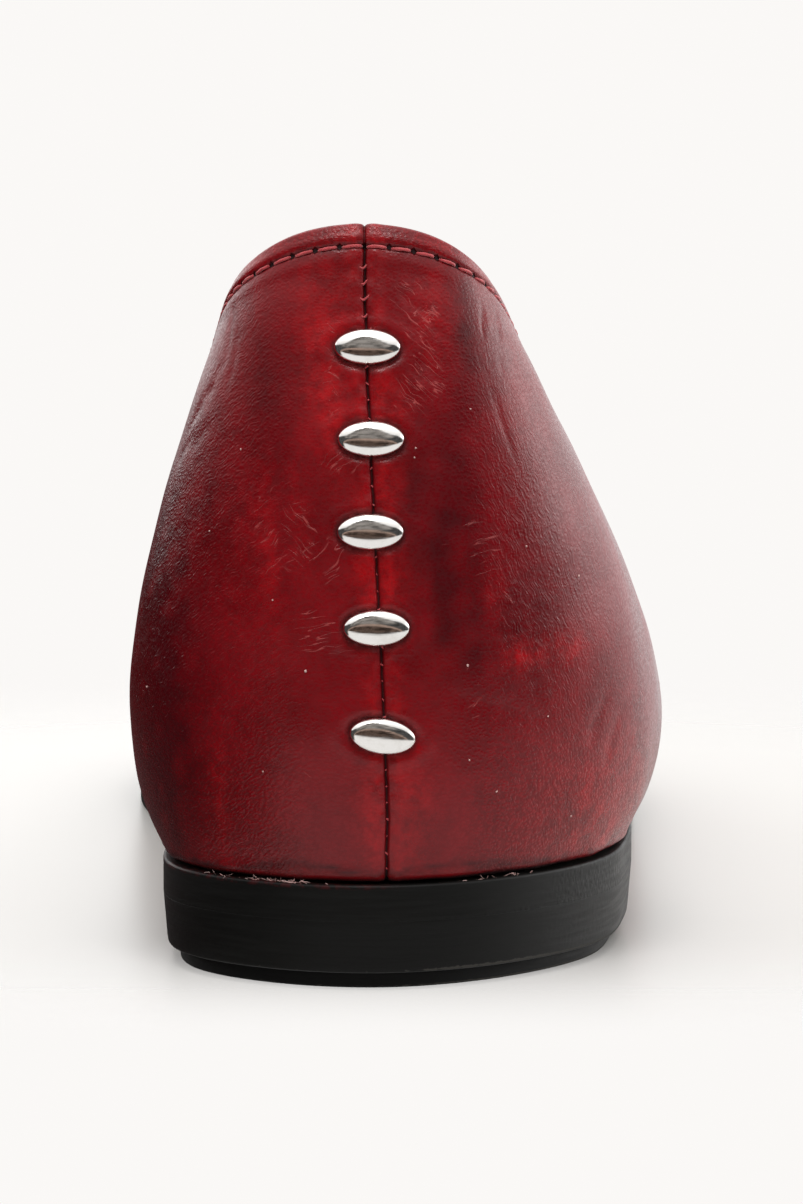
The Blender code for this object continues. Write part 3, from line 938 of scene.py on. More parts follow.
def build_scuff(name):
    """Broken hairlines, Line wide and long, turned by Turn, and more of them where Cover is high."""
    inputs = {"Surface": None, "Turn": 0.0, "Line": (0.2, 2, 1), "Cover": 0.4}
    nodes, given, out = new_group(name, inputs, "Mask")
    place = nodes.drifted(nodes.turned(given["Surface"], given["Turn"]), 0.35, 1, 1.3)
    drawn = nodes.vector("DIVIDE", place, given["Line"])
    lines = nodes.size(nodes.minus(nodes.noise(drawn, 0.42, 1), 0.5))
    hairs = nodes.step(lines, 0.030, 0.006)
    broken = nodes.noise(nodes.vector("ADD", drawn, (7.3, 2.9, 4.1)), 0.35, 2)
    lowest = nodes.minus(0.85, nodes.times(given["Cover"], 0.5))
    nodes.put(nodes.times(hairs, nodes.step(broken, lowest, nodes.plus(lowest, 0.15))), out)
    return nodes.tree


def build_wear(name):
    """Ragged wear where Edge is high."""
    inputs = {"Place": None, "Edge": 0.0, "Breakup": 1.0, "Amount": 0.5}
    nodes, given, out = new_group(name, inputs, "Mask")
    ragged = nodes.noise(nodes.vector("DIVIDE", given["Place"], given["Breakup"]), 1.0, 4, 0.65)
    level = nodes.plus(given["Edge"], nodes.times(nodes.minus(ragged, 0.5), 1.1))
    lowest = nodes.minus(1.15, given["Amount"])
    nodes.put(nodes.step(level, lowest, nodes.plus(lowest, 0.18)), out)
    return nodes.tree


def build_dust(name):
    """Round specks in a share of the cells."""
    inputs = {"Place": None, "Spacing": 2.0, "Size": 0.1, "Share": 0.3}
    nodes, given, out = new_group(name, inputs, "Mask")
    place = nodes.vector("DIVIDE", given["Place"], given["Spacing"])
    cells = nodes.add("TexVoronoi", {"Vector": place, "Scale": 1.0})
    size = nodes.math("DIVIDE", given["Size"], given["Spacing"])
    specks = nodes.step(cells.outputs["Distance"], size, nodes.times(size, 0.5))
    chosen = nodes.add("SeparateColor", {"Color": cells.outputs["Color"]}).outputs[0]
    nodes.put(nodes.times(specks, nodes.math("LESS_THAN", chosen, given["Share"])), out)
    return nodes.tree


GROUPS = {
    "Pebble grain": build_grain,
    "Hairline scuffs": build_scuff,
    "Edge wear": build_wear,
    "Dust": build_dust,
}


def placed(nodes, name, inputs):
    """The output of one of the GROUPS, which is built the first time that it is asked for."""
    group = bpy.data.node_groups.get(name) or GROUPS[name](name)
    return nodes.group(group, inputs)[0]


# --- materials ----------------------------------------------------------------------------------------------

# Colours of wear, dirt, painted shade and light, which no setting holds
GRIME_AND_SHADE = (0.012, 0.0015, 0.0018)
FADED_THREAD = (0.55, 0.10, 0.09)
TARNISH = (0.60, 0.56, 0.51)
DYE_ON_PAINT = (0.09, 0.004, 0.006)
DUST_ON_PAINT = (0.35, 0.33, 0.30)
PALE_LINT, RED_LINT = (0.80, 0.62, 0.58), (0.45, 0.20, 0.18)
DARK_FLOOR = (0.06, 0.045, 0.045)
ROOM_LEFT = (0.020, 0.006, 0.006)
ROOM_MIDDLE = (0.10, 0.095, 0.09), (0.38, 0.355, 0.335)
RIM_LIGHT = (0.46, 0.33, 0.27)
DARK_ARCH = (0.03, 0.02, 0.016), (0.14, 0.095, 0.075)

# The fine lines on the flanks: how they turn from upright in degrees, and their width and length
FLANK_LINES = {"inner_lines": -52, "outer_lines": 24}
FLANK_LINE_SIZE = (0.21, 1.3, 1)


def new_material(name, sockets=None):
    """A material, its Nodes and its Principled shader, with some of its sockets set."""
    made = bpy.data.materials.new(name)
    made.use_nodes = True
    nodes = Nodes(made.node_tree)
    shader = made.node_tree.nodes["Principled BSDF"]
    nodes.feed(shader, sockets or {})
    return made, nodes, shader


def leather_material(settings):
    """Dyed leather with pebbled grain, burnishing, rubbing and scuffs, with painted shade where it is sewn,
    round the studs and on the inner flank, and a painted highlight under the topline.
    """
    made, nodes, shader = new_material("Red leather", {"Coat Roughness": 0.18, "Specular IOR Level": 0.24})
    place = nodes.millimetres()
    surface = nodes.map("surface")
    inputs = {"Place": place, "Cell": settings.grain / MM, "Stretch": (1.25, 1.25, 0.9)}
    grain = placed(nodes, "Pebble grain", inputs)

    scuffed = None
    for family, hairline in HAIRLINES.items():
        inputs = {
            "Surface": surface,
            "Turn": math.radians(-hairline.turn),
            "Line": (settings.hairline / MM, hairline.length, 1),
            "Cover": nodes.field("scuffs_" + family),
        }
        mask = placed(nodes, "Hairline scuffs", inputs)
        scuffed = mask if scuffed is None else nodes.math("MAXIMUM", scuffed, mask)

    stitches = nodes.parts(nodes.map("topline"))
    along = nodes.math("PINGPONG", stitches["X"], 0.5)
    below = nodes.size(nodes.minus(stitches["Y"], settings.band / MM))
    holes = nodes.step(nodes.plus(nodes.times(along, 2.5), below), 0.52, 0.24)
    channel = nodes.step(below, 0.5, 0.1)

    cloudy = nodes.noise(place, 0.11, 3, 0.55)
    blotchy = nodes.noise(place, 0.6, 3, 0.6)
    # the darkened finish, with painted shade on the inner flank
    burnished = nodes.times(nodes.field("burnished"), nodes.step(cloudy, 0.2, 0.6, 0.6, 1.0))
    # rubbing, with a painted highlight under the topline
    rubbed = nodes.times(nodes.field("rubbed"), nodes.step(blotchy, 0.32, 0.62, 0.35, 1.0))
    shade = nodes.mix(burnished, settings.dye, settings.burnish_and_shade_colour)
    shade = nodes.mix(rubbed, shade, settings.rub_and_highlight_colour)
    uneven = nodes.plus(cloudy, nodes.times(blotchy, 0.5))
    shade = nodes.toned(shade, nodes.step(uneven, 0.45, 1.05, 0.78, 1.2))
    valley = nodes.times(nodes.field("grain"), nodes.step(grain, 0.55, 0.1))
    shade = nodes.toned(shade, nodes.times_plus(valley, -0.26, 1.05))
    shade = nodes.mix(nodes.times(scuffed, 0.6), shade, settings.scuff)
    # painted shade in the stitch channel and the needle holes, on top of the field's dirt and painted shade
    grime = nodes.math("MAXIMUM", nodes.field("grime"), nodes.times(channel, 0.45))
    grime = nodes.math("MAXIMUM", grime, holes)
    shade = nodes.mix(grime, shade, GRIME_AND_SHADE)

    rough = nodes.step(cloudy, 0.3, 0.7, 0.24, 0.32)
    rough = nodes.minus(rough, nodes.times(burnished, 0.06))
    rough = nodes.plus(rough, nodes.step(grain, 0.6, 0.1, 0.0, 0.12))
    rough = nodes.plus(rough, nodes.times(grime, 0.3), clamp=True)
    gloss = nodes.times(nodes.step(grime, 0.5, 0.0), nodes.step(cloudy, 0.3, 0.7, 0.7, 1.0))

    normal = nodes.bump(nodes.times(grain, nodes.field("grain")), settings.grain_depth / MM)
    for name, turn in FLANK_LINES.items():
        lying = nodes.drifted(nodes.turned(surface, math.radians(-turn)), 0.5, 1, 1.2)
        lines = nodes.noise(nodes.vector("DIVIDE", lying, FLANK_LINE_SIZE), 1.0, 1)
        normal = nodes.bump(nodes.times(lines, nodes.field(name)), settings.line_depth / MM, normal)
    normal = nodes.bump(scuffed, 0.03, normal)
    normal = nodes.bump(nodes.minus(1.0, holes), 0.35, normal)
    coat = nodes.times(gloss, settings.gloss)
    nodes.feed(shader, {"Base Color": shade, "Roughness": rough, "Coat Weight": coat, "Normal": normal})
    return made


def thread_material(settings):
    """Twisted thread, faded in places."""
    made, nodes, shader = new_material("Red thread", {"Roughness": 0.55, "Sheen Weight": 0.35})
    place = nodes.millimetres()
    fibres = nodes.noise(place, 9.0, 3, 0.7)
    worn = nodes.noise(place, 0.5, 2)
    shade = nodes.mix(nodes.step(fibres, 0.3, 0.7), deeper(settings.dye, 0.55), settings.dye)
    shade = nodes.mix(nodes.step(worn, 0.5, 0.75, 0.0, 0.5), shade, FADED_THREAD)
    nodes.feed(shader, {"Base Color": shade, "Normal": nodes.bump(fibres, 0.05)})
    return made


def stud_material(settings):
    """Polished metal with fine scratches round it and a little tarnish."""
    made, nodes, shader = new_material("Polished stud", {"Metallic": 1.0})
    place = nodes.millimetres()
    scratches = nodes.noise(nodes.vector("DIVIDE", place, (2.2, 2.2, 0.12)), 1.0, 4, 0.6)
    tarnish = nodes.noise(place, 0.9, 2)
    shade = nodes.mix(nodes.step(tarnish, 0.45, 0.8, 0.0, 0.35), settings.metal, TARNISH)
    rough = nodes.step(scratches, 0.35, 0.75, settings.polish, settings.polish + 0.09)
    nodes.feed(shader, {"Base Color": shade, "Roughness": rough, "Normal": nodes.bump(scratches, 0.004)})
    return made


def sole_material(name, rgb, settings, roughness, grain_depth):
    """Black edge paint or rubber, drawn along, with worn edges, dust, and dye where the leather meets it."""
    made, nodes, shader = new_material(name, {"Specular IOR Level": 0.16})
    place = nodes.millimetres()
    grain = placed(nodes, "Pebble grain", {"Place": place, "Cell": 0.7})
    edge = nodes.times(nodes.field("edge"), nodes.field("worn"))
    wear = placed(nodes, "Edge wear", {"Place": place, "Edge": edge, "Breakup": 0.9, "Amount": 0.75})
    dust = placed(nodes, "Dust", {"Place": place, "Spacing": 3.2, "Size": 0.14, "Share": 0.16})
    drawn = nodes.noise(nodes.vector("DIVIDE", place, (9, 9, 0.5)), 1.0, 3, 0.6)
    patchy = nodes.step(nodes.noise(place, 0.9, 3, 0.6), 0.42, 0.6)
    shade = nodes.mix(nodes.step(drawn, 0.35, 0.75), rgb, deeper(rgb, 1.35))
    shade = nodes.mix(wear, shade, settings.worn)
    shade = nodes.mix(nodes.times(nodes.field("smear"), patchy), shade, DYE_ON_PAINT)
    shade = nodes.mix(nodes.times(dust, 0.8), shade, DUST_ON_PAINT)
    rough = nodes.step(drawn, 0.3, 0.7, roughness, roughness + 0.1)
    rough = nodes.plus(rough, nodes.times(wear, 0.3), clamp=True)
    normal = nodes.bump(nodes.times(grain, nodes.field("pebbled")), grain_depth)
    normal = nodes.bump(drawn, 0.03, normal)
    nodes.feed(shader, {"Base Color": shade, "Roughness": rough, "Normal": normal})
    return made


def inside_material(name, rgb, cell):
    """Undyed leather, darker where it is trodden."""
    made, nodes, shader = new_material(name, {"Roughness": 0.62, "Sheen Weight": 0.1})
    place = nodes.millimetres()
    grain = placed(nodes, "Pebble grain", {"Place": place, "Cell": cell})
    worn = nodes.noise(place, 0.05, 3)
    shade = nodes.mix(nodes.step(worn, 0.35, 0.7), rgb, deeper(rgb, 0.68))
    shade = nodes.mix(nodes.field("trodden"), shade, deeper(rgb, 0.45))
    shade = nodes.mix(nodes.step(grain, 0.5, 0.05, 0.0, 0.35), shade, deeper(rgb, 0.4))
    nodes.feed(shader, {"Base Color": shade, "Normal": nodes.bump(grain, 0.05)})
    return made


def lint_material():
    made, nodes, shader = new_material("Lint", {"Roughness": 0.9})
    tone = nodes.noise(nodes.millimetres(), 0.8, 1)
    nodes.feed(shader, {"Base Color": nodes.mix(tone, PALE_LINT, RED_LINT)})
    return made


# --- pieces of the upper ------------------------------------------------------------------------------------


def leather_fields(shell, reach, band):
    """The leather's burnishing, rubbing, dirt, painted shade and highlight, grain, fine lines and scuffs, from
    0 to 1 at every point.
    """
    side, above_foot, below_top = shell.side, shell.above_foot, shell.below_top
    height = shell.points[:, :, 2]
    heel = between(np.abs(side), *COLOUR_FADE)
    # painted shade in the seam's groove
    seam = bell(side - groove_line(height), 0.20)
    seam = seam * (0.72 + 0.28 * between(below_top, band - 0.4, band))
    # painted shade round each stud
    under_studs = 0.75 * between(reach, *STUD_SHADE)
    calm = 0.35 + 0.65 * np.maximum(between(np.abs(side), 7, 15), between(below_top, 3.4, 2.6))
    # the leather darkens over its lowest half millimetre, reaching 0.3 mm higher on the outer side
    foot = between(above_foot - 0.3 * between(side, 5, 16) * between(side, 34, 26), 0.45, 0.1)

    # the stain along the foot: a pale strip under a dark edge
    wave = np.interp(side, *np.array(FEATHER_EDGE).T) + 0.12 * wander(side, 5, 16)
    feather = bell(above_foot - wave, 0.42) * np.clip(0.8 + 0.4 * wander(side, 9, 17), 0, 1)
    strip = between(above_foot, wave, 0.8 * wave) * between(np.abs(side), 30, 22)

    beside_seam = 0.55 * bell(np.abs(side) - 1.2, 1.1)
    rubbed = patch_cover(side, height, RUBBED_PATCHES) + beside_seam * heel
    # a brighter band under the topline: partly rubbing, partly a painted highlight
    rubbed += 0.30 * between(below_top, 2.4, 1.6) * heel + 0.25 * strip
    inner_lines = between(side, -6, -14) * between(side, -60, -40)
    outer_lines = between(side, 8, 16) * between(side, 60, 40)
    lined = (inner_lines + outer_lines) * between(height, 20, 40)
    fields = {
        # burnishing, the feather edge's stain, and painted shade on the inner flank
        "burnished": heel * np.clip(patch_cover(side, height, BURNISH_AND_SHADE_PATCHES) + feather, 0, 1),
        # rubbing, with a painted highlight under the topline
        "rubbed": np.clip(rubbed, 0, 1),
        # darkening at the foot and the feather edge's stain, with painted shade in the seam's groove and round
        # the studs
        "grime": np.clip(0.95 * seam + under_studs + 0.8 * foot + 0.25 * feather + 0.22 * strip, 0, 1),
        "grain": (1 - 0.85 * seam) * calm * (1 - 0.55 * lined),
        "inner_lines": inner_lines,
        "outer_lines": outer_lines,
    }
    for family in HAIRLINES:
        patches = [scuff for scuff in SCUFFS if scuff.family == family]
        fields["scuffs_" + family] = heel * patch_cover(side, height, patches)
    return fields


def make_upper(scene):
    settings = scene.flat_leather
    shell, along, reach = shaped_shell(scene)
    maps = {
        "surface": paired(closed(shell.side), closed(shell.points[:, :, 2])),
        "topline": paired(along, closed(shell.below_top)),
    }
    fields = leather_fields(shell, reach, settings.band / MM)
    mesh = grid_mesh("upper_leather", shell.points, maps, fields)
    piece("upper_leather", mesh, leather_material(settings), ("upper",))
    return shell, along


def make_lining(settings):
    """The lining, from under the fold of the collar down to the insole and turned in under its edge."""
    bare = bare_shell()
    under_fold = np.flatnonzero(bare.below_top[0] > LINING_TOP)
    rows = np.append(under_fold[::3][:-1], under_fold[-1])
    inner = bare.points[:, rows] - bare.normals[:, rows] * (WALL + LINING_GAP)
    lip = bare.points[:, rows[-1:]] - bare.normals[:, rows[-1:]] * (WALL - 0.5)
    turned_in = inner[:, :1] - bare.normals[:, :1] * (LINING_TURN, LINING_TURN, 0.0)
    points = np.concatenate([turned_in, inner, lip], axis=1)[:, ::-1]
    side = np.pad(bare.side[:, rows], ((0, 0), (1, 1)), mode="edge")[:, ::-1]
    dents = 0.12 * ripples(side, points[:, :, 2], 14, 8)
    mesh = grid_mesh("lining", points, fields={"trodden": 0.35 * np.clip(dents * 3, 0, 1)})
    piece("lining", mesh, inside_material("Lining leather", settings.lining, 0.5))


def values_at(where, at, values):
    """Rows of values, given at places at, read off at the places where."""
    return np.stack([np.interp(where, at, column) for column in values.T], axis=-1)


# How far from the middle of its needle hole a stitch of the topline starts and ends, as a share of a stitch
NEEDLE_GAP = 0.08


def make_stitches(scene, shell, along, material):
    """The topline's stitches, each an arched length of twisted thread between two needle holes."""
    row = row_below(shell, scene.flat_leather.band / MM)
    rises = unit(shell.points[:, row + 1] - shell.points[:, row - 1])
    rings = [closed(values) for values in (shell.points[:, row], shell.normals[:, row], rises)]
    at = along[:, 0]
    draw = np.random.default_rng(11)
    radius = scene.flat_thread.width / MM / 2
    portion = np.linspace(0, 1, 11)
    lean = (portion - 0.5) * 2
    edge = np.abs(2 * portion - 1)
    parts = []
    for stitch in range(round(at[-1])):
        start = stitch + NEEDLE_GAP + draw.uniform(-0.03, 0.03)
        end = stitch + 1 - NEEDLE_GAP + draw.uniform(-0.03, 0.03)
        path, normal, rise = (values_at(start + (end - start) * portion, at, ring) for ring in rings)
        lift = radius * (0.75 + draw.uniform(-0.1, 0.2)) * (1 - edge**5) - 0.6 * radius * edge**8
        slant = draw.uniform(-0.05, 0.05) + 0.07
        shift = slant * lean + draw.uniform(-0.04, 0.04)
        path = path + normal * lift[:, None] + rise * shift[:, None]
        twist = 1.2 + draw.uniform(-0.2, 0.2)
        parts.append(tube(path, rise, normal, radius * (1 - 0.35 * edge**6), 10, twist, 0.22))
    joined_piece("topline_stitches", parts, material)


# How the back seam's threads lie, near the collar and lower down: half a thread's length, how far under the
# leather's face it lies, how far its ends rise and sink, and its thickness beside a plain thread's. Then
# where the threads start and the proud ones end, below the topline, and where they stop, above the foot
SeamThread = namedtuple("SeamThread", "reach depth rise sink thickness")
PROUD_THREAD = SeamThread(0.62, 0.20, 0.62, 0.30, 1.35)
SUNK_THREAD = SeamThread(0.30, 0.50, 0.0, 0.1, 1.0)
FIRST_THREAD, LAST_PROUD_THREAD, LAST_THREAD = 4.6, 14, 1.0


def make_seam_threads(scene, shell, material):
    """Threads across the back seam's groove: proud near the collar, and sunk lower down."""
    settings = scene.flat_thread
    groove = scene.flat_leather.groove / MM
    column = shell.points[0, :OUTER_ROWS]
    sides = unit(shell.points[4, :OUTER_ROWS] - shell.points[-4, :OUTER_ROWS])
    lines = (column, shell.normals[6, :OUTER_ROWS], sides)
    travelled = steps_along(column[None], 1)[0]
    draw = np.random.default_rng(12)
    portion = np.linspace(-1, 1, 9)
    parts = []
    place = travelled[-1] - FIRST_THREAD
    while place > LAST_THREAD:
        proud = place > travelled[-1] - LAST_PROUD_THREAD
        kind = PROUD_THREAD if proud else SUNK_THREAD
        here, normal, across = (values_at(place, travelled, values) for values in lines)
        reach = kind.reach * draw.uniform(0.85, 1.15)
        sunk = groove - kind.depth + draw.uniform(-0.08, 0.05)
        tilt = draw.uniform(0.1, 0.3) * (1 if proud else draw.choice((-1, 1)))
        up = np.cross(normal, across)
        path = (
            here
            + across * (portion * reach)[:, None]
            + up * (tilt * portion + kind.rise * np.abs(portion) ** 1.4)[:, None]
            + normal * (sunk - kind.sink * portion**4)[:, None]
        )
        frames = [np.tile(axis, (len(portion), 1)) for axis in (up, normal)]
        radii = settings.width / MM * 0.3 * kind.thickness * (1 - 0.4 * portion**6)
        parts.append(tube(path, *frames, radii, 8, 0.6, 0.2))
        place -= settings.seam_pitch / MM * draw.uniform(0.92, 1.08)
    joined_piece("back_seam_threads", parts, material)


# --- studs --------------------------------------------------------------------------------------------------


def seam_frame(height, aside):
    """A point on the back seam's surface and the axes there: along the seam's side, up it, and out of it."""
    fine = np.linspace(0, 1, 400)
    seam = rib_points(rib_ends(np.array([0.0])), fine[None])[0]
    up = np.interp(height, seam[:, 2], fine)
    near = rib_points(rib_ends(np.array([0.0, 2e-3])), np.array([[up, up + 1e-3]] * 2))
    side = unit(near[1, 0] - near[0, 0])
    out = unit(np.cross(side, near[0, 1] - near[0, 0]))
    return near[0, 0] + side * aside, side, np.cross(out, side), out


def make_stud(number, stud, material):
    """A polished oval dome, whose skirt goes down into the leather."""
    segments, rings = 96, 26
    dome, skirt = 0.92 * STUD_RISE, [(1.0, -0.12), (0.97, -0.45)]
    place, side, up, out = seam_frame(stud.height, stud.aside)
    side, up = turned(side, up, stud.tilt)
    angles = np.arange(segments) * 2 * np.pi / segments
    leans = np.linspace(0, np.pi / 2, rings)[1:]
    levels = [(math.sin(a), dome * max(math.cos(a), 0.0) ** 0.64) for a in leans] + skirt
    fullness = 2 / 1.94
    across, along = (
        np.sign(wave) * np.abs(wave) ** fullness * size / 2
        for wave, size in ((np.cos(angles), STUD_WIDTH), (np.sin(angles), STUD_HEIGHT))
    )
    base = place - out * 0.02
    points = [base + out * dome]
    for reach, rise in levels:
        points += list(base + across[:, None] * reach * side + along[:, None] * reach * up + out * rise)
    faces = [(0, 1 + k, 1 + (k + 1) % segments) for k in range(segments)]
    for ring in range(len(levels) - 1):
        for k in range(segments):
            a, b = 1 + ring * segments + k, 1 + ring * segments + (k + 1) % segments
            faces.append((a, a + segments, b + segments, b))
    parts = [(np.array(points), faces)]
    joined_piece(f"stud_dome_{number}", parts, material, (f"stud_{number}",))


# --- sole pieces --------------------------------------------------------------------------------------------


def sole_outline(margin):
    """The sole's outline in plan as two lines from the back point to the toe: inner side and outer side."""
    loop = foot_line(np.linspace(0, 1, 3000, endpoint=False), margin)
    loop = np.roll(loop, -loop[:, 1].argmin(), axis=0)
    toe = loop[:, 1].argmax()
    return np.vstack([loop[toe:], loop[:1]])[::-1], loop[: toe + 1]


# How finely a layer is divided: from the back point forwards, and across
Division = namedtuple("Division", "stations across")
# Where the heel's layers end: how far forward, and how deep their front is hollowed
Breast = namedtuple("Breast", "y hollow")


def sole_sheet(margin, division, breast):
    """Plan points of the sole's area, shaped (stations + 1, across + 1, 2), from the back point forwards."""
    inner, outer = sole_outline(margin)
    back, toe = outer[0, 1], outer[-1, 1]
    count = np.arange(division.stations + 1) / division.stations
    lean = np.linspace(-1, 1, division.across + 1)
    portions = 1 - np.cos(np.pi / 2 * count) if breast else (1 - np.cos(np.pi * count)) / 2
    front = breast.y + min(margin, 0) if breast else toe
    y = back + portions * (front - back)
    left = np.interp(y, inner[:, 1], inner[:, 0])
    right = np.interp(y, outer[:, 1], outer[:, 0])
    x = (left + right)[:, None] / 2 + (right - left)[:, None] / 2 * lean
    hollow = breast.hollow if breast else 0.0
    return np.stack([x, y[:, None] - hollow * (portions**3)[:, None] * (1 - lean**2)], axis=-1)


def sheet_border(sheet, breast):
    """The sheet's border as a closed ring: the outer side, the front if it has width, and the inner side."""
    if breast:
        return np.concatenate([sheet[:, -1], sheet[-1, ::-1][1:-1], sheet[::-1, 0][:-1]])
    return np.concatenate([sheet[:, -1], sheet[-2:0:-1, 0]])


# One ring of a layer's side: how far it is set in, its share of the layer's thickness, how far above that it
# is, and how much of an edge it is
Level = namedtuple("Level", "inset portion offset edge")


def edge_levels(radius_bottom, radius_top, middle):
    """The side's profile from the bottom up, with both edges rounded."""
    quarter = [(math.sin(a), math.cos(a)) for a in np.linspace(0, math.pi / 2, 6)]
    bottom = [Level(radius_bottom * (1 - sin), 0.0, radius_bottom * (1 - cos), sin) for sin, cos in quarter]
    sides = [Level(0.0, portion, 0.0, 0.0) for portion in np.linspace(0, 1, middle + 2)[1:-1]]
    top = [Level(radius_top * (1 - cos), 1.0, -radius_top * (1 - sin), cos) for sin, cos in quarter]
    return bottom + sides + top


def level(height):
    """A height that is the same all along the sole."""
    return lambda y: np.full_like(y, height)


def make_layer(name, node, material, margins, heights, levels, division, fields, breast=None):
    """A layer of the sole with a rounded edge. Margins and heights are a pair each, for its foot and its top,
    and the heights are functions of y. Each field is a function of the points and their share of the
    thickness."""
    shape = bmesh.new()
    edge = shape.verts.layers.float.new("edge")
    rise = shape.verts.layers.float.new("rise")
    foot_margin, top_margin = margins

    def height_of(plan, ring):
        low, high = (height(plan[..., 1]) for height in heights)
        return low + ring.portion * (high - low) + ring.offset

    def vert(x, y, z, worn, portion):
        made = shape.verts.new(to_metres((x, y, z)))
        made[edge] = worn
        made[rise] = portion
        return made

    rings = []
    for ring in levels:
        margin = foot_margin + ring.portion * (top_margin - foot_margin) - ring.inset
        plan = sheet_border(sole_sheet(margin, division, breast), breast)
        spots = zip(plan, height_of(plan, ring))
        rings.append([vert(x, y, z, ring.edge, ring.portion) for (x, y), z in spots])
    for lower, upper in zip(rings, rings[1:]):
        for k, corner in enumerate(lower):
            shape.faces.new((lower[k - 1], corner, upper[k], upper[k - 1]))
    for ring, margin in ((levels[0], foot_margin), (levels[-1], top_margin)):
        sheet = sole_sheet(margin - ring.inset, division, breast)
        spots = np.concatenate([sheet, height_of(sheet, ring)[..., None]], axis=-1)
        verts = [[vert(*spot, 0.0, ring.portion) for spot in row] for row in spots]
        for row, ahead in zip(verts, verts[1:]):
            for j in range(division.across):
                shape.faces.new((row[j], row[j + 1], ahead[j + 1], ahead[j]))
    bmesh.ops.remove_doubles(shape, verts=shape.verts, dist=2e-6)
    bmesh.ops.dissolve_degenerate(shape, edges=shape.edges, dist=1e-7)
    bmesh.ops.recalc_face_normals(shape, faces=shape.faces)
    mesh = bpy.data.meshes.new(name)
    shape.to_mesh(mesh)
    shape.free()
    mesh.shade_smooth()
    mesh.set_sharp_from_angle(angle=math.radians(40))
    points = np.array([vertex.co for vertex in mesh.vertices]) / MM - SHIFT
    portions = np.array([value.value for value in mesh.attributes["rise"].data])
    for label, field in fields.items():
        with_field(mesh, label, field(points, portions))
    piece(name, mesh, material, (node,))


def make_outsole(settings):
    material = sole_material("Sole edge paint", settings.paint, settings, 0.42, 0.03)
    fields = {
        "pebbled": lambda points, rise: np.clip(between(points[:, 0], 16, 22) + (rise < 0.01), 0, 1),
        "smear": lambda points, rise: 0.35 * between(rise, 0.9, 1.0) * between(points[:, 0], 2, -6),
        "worn": lambda points, rise: 0.3 * between(points[:, 0], 10, 22) * (rise > 0.5),
    }
    levels = edge_levels(0.02, settings.rounding / MM, 6)
    margins = (SOLE_MARGIN, SOLE_MARGIN)
    heights = (sole_bottom, sole_top)
    make_layer(
        "sole_leather", "outsole", material, margins, heights, levels, Division(150, 14), fields
    )


def make_heel(settings):
    block_material = sole_material("Heel edge paint", settings.paint, settings, 0.42, 0.05)
    lift_material = sole_material("Lift rubber", settings.rubber, settings, 0.55, 0.05)
    fields = {
        "pebbled": lambda points, rise: 0.15 * between(np.abs(points[:, 0]), 12, 24),
        "smear": lambda points, rise: 0 * rise,
        "worn": lambda points, rise: (rise < 0.5) * (0.35 + 0.35 * between(points[:, 0], -6, 10)),
    }
    lift_top = HEEL_LIFT_HEIGHT + GAP
    foot = SOLE_MARGIN - HEEL_BLOCK_TAPER
    breast = Breast(HEEL_BREAST, HEEL_BREAST_HOLLOW)
    make_layer(
        "heel_stack", "heel_block", block_material, (foot, SOLE_MARGIN),
        (level(lift_top), level(heel_sole_bottom())), edge_levels(0.28, 0.02, 8), Division(90, 24),
        fields, breast,
    )
    make_layer(
        "heel_top_piece", "heel_lift", lift_material, [foot - HEEL_LIFT_INSET] * 2,
        (level(0.0), level(lift_top)), edge_levels(0.25, 0.05, 4), Division(90, 24), fields, breast,
    )


def make_sock(settings):
    """The sock over the insole, with a soft rolled edge, darker where a foot has trodden."""
    material = inside_material("Sock leather", settings.sock, 0.6)

    def trodden(points, rise):
        heel = np.exp(-((points[:, 0] / 17) ** 2) - ((points[:, 1] - 34) / 24) ** 2)
        ball = np.exp(-(((points[:, 0] + 2) / 26) ** 2) - ((points[:, 1] - 168) / 26) ** 2)
        return 0.55 * np.clip(heel + ball, 0, 1) * (rise > 0.9)

    make_layer(
        "sock", "insole", material, [-INSOLE_INSET] * 2,
        (lambda y: sole_top(y) + GAP, lambda y: sole_top(y) + GAP + INSOLE_THICKNESS),
        edge_levels(0.3, 0.9, 2), Division(110, 24), {"trodden": trodden},
    )


# --- lint and dust ------------------------------------------------------------------------------------------


def surface_spot(shell, aside, height):
    """A point of the leather at a distance beside the seam and a height, its normal and its other axes."""
    beside = shell.side[:, :OUTER_ROWS] - aside
    miss = np.hypot(beside, shell.points[:, :OUTER_ROWS, 2] - height)
    column, row = np.unravel_index(miss.argmin(), miss.shape)
    normal = shell.normals[column, row]
    across = unit(np.cross((0, 0, 1), normal))
    return shell.points[column, row], normal, across, np.cross(normal, across)


def crumb(middle, axes, size, draw):
    """(points, faces) of a small rough grain."""
    ups, turns = 3, 6
    points = [middle + axes[0] * size]
    for ring in range(1, ups):
        lean = math.pi * ring / ups
        for k in range(turns):
            turn = 2 * math.pi * k / turns
            around = (axes[1] * math.cos(turn) + axes[2] * math.sin(turn)) * math.sin(lean) * 1.3
            points.append(middle + (axes[0] * math.cos(lean) + around) * size * draw.uniform(0.6, 1.1))
    points.append(middle - axes[0] * size)
    sides = [(k, k % turns + 1) for k in range(1, turns + 1)]
    faces = [(0, k, after) for k, after in sides]
    faces += [(k, turns + k, turns + after, after) for k, after in sides]
    faces += [(1 + 2 * turns, turns + after, turns + k) for k, after in sides]
    return np.array(points), faces


def make_dust(shell, material):
    """Specks of dust on the heel."""
    draw = np.random.default_rng(31)
    parts = []
    for speck in SPECKS:
        middle, *axes = surface_spot(shell, speck.aside, speck.height)
        parts.append(crumb(middle, axes, speck.size, draw))
    joined_piece("dust_specks", parts, material)


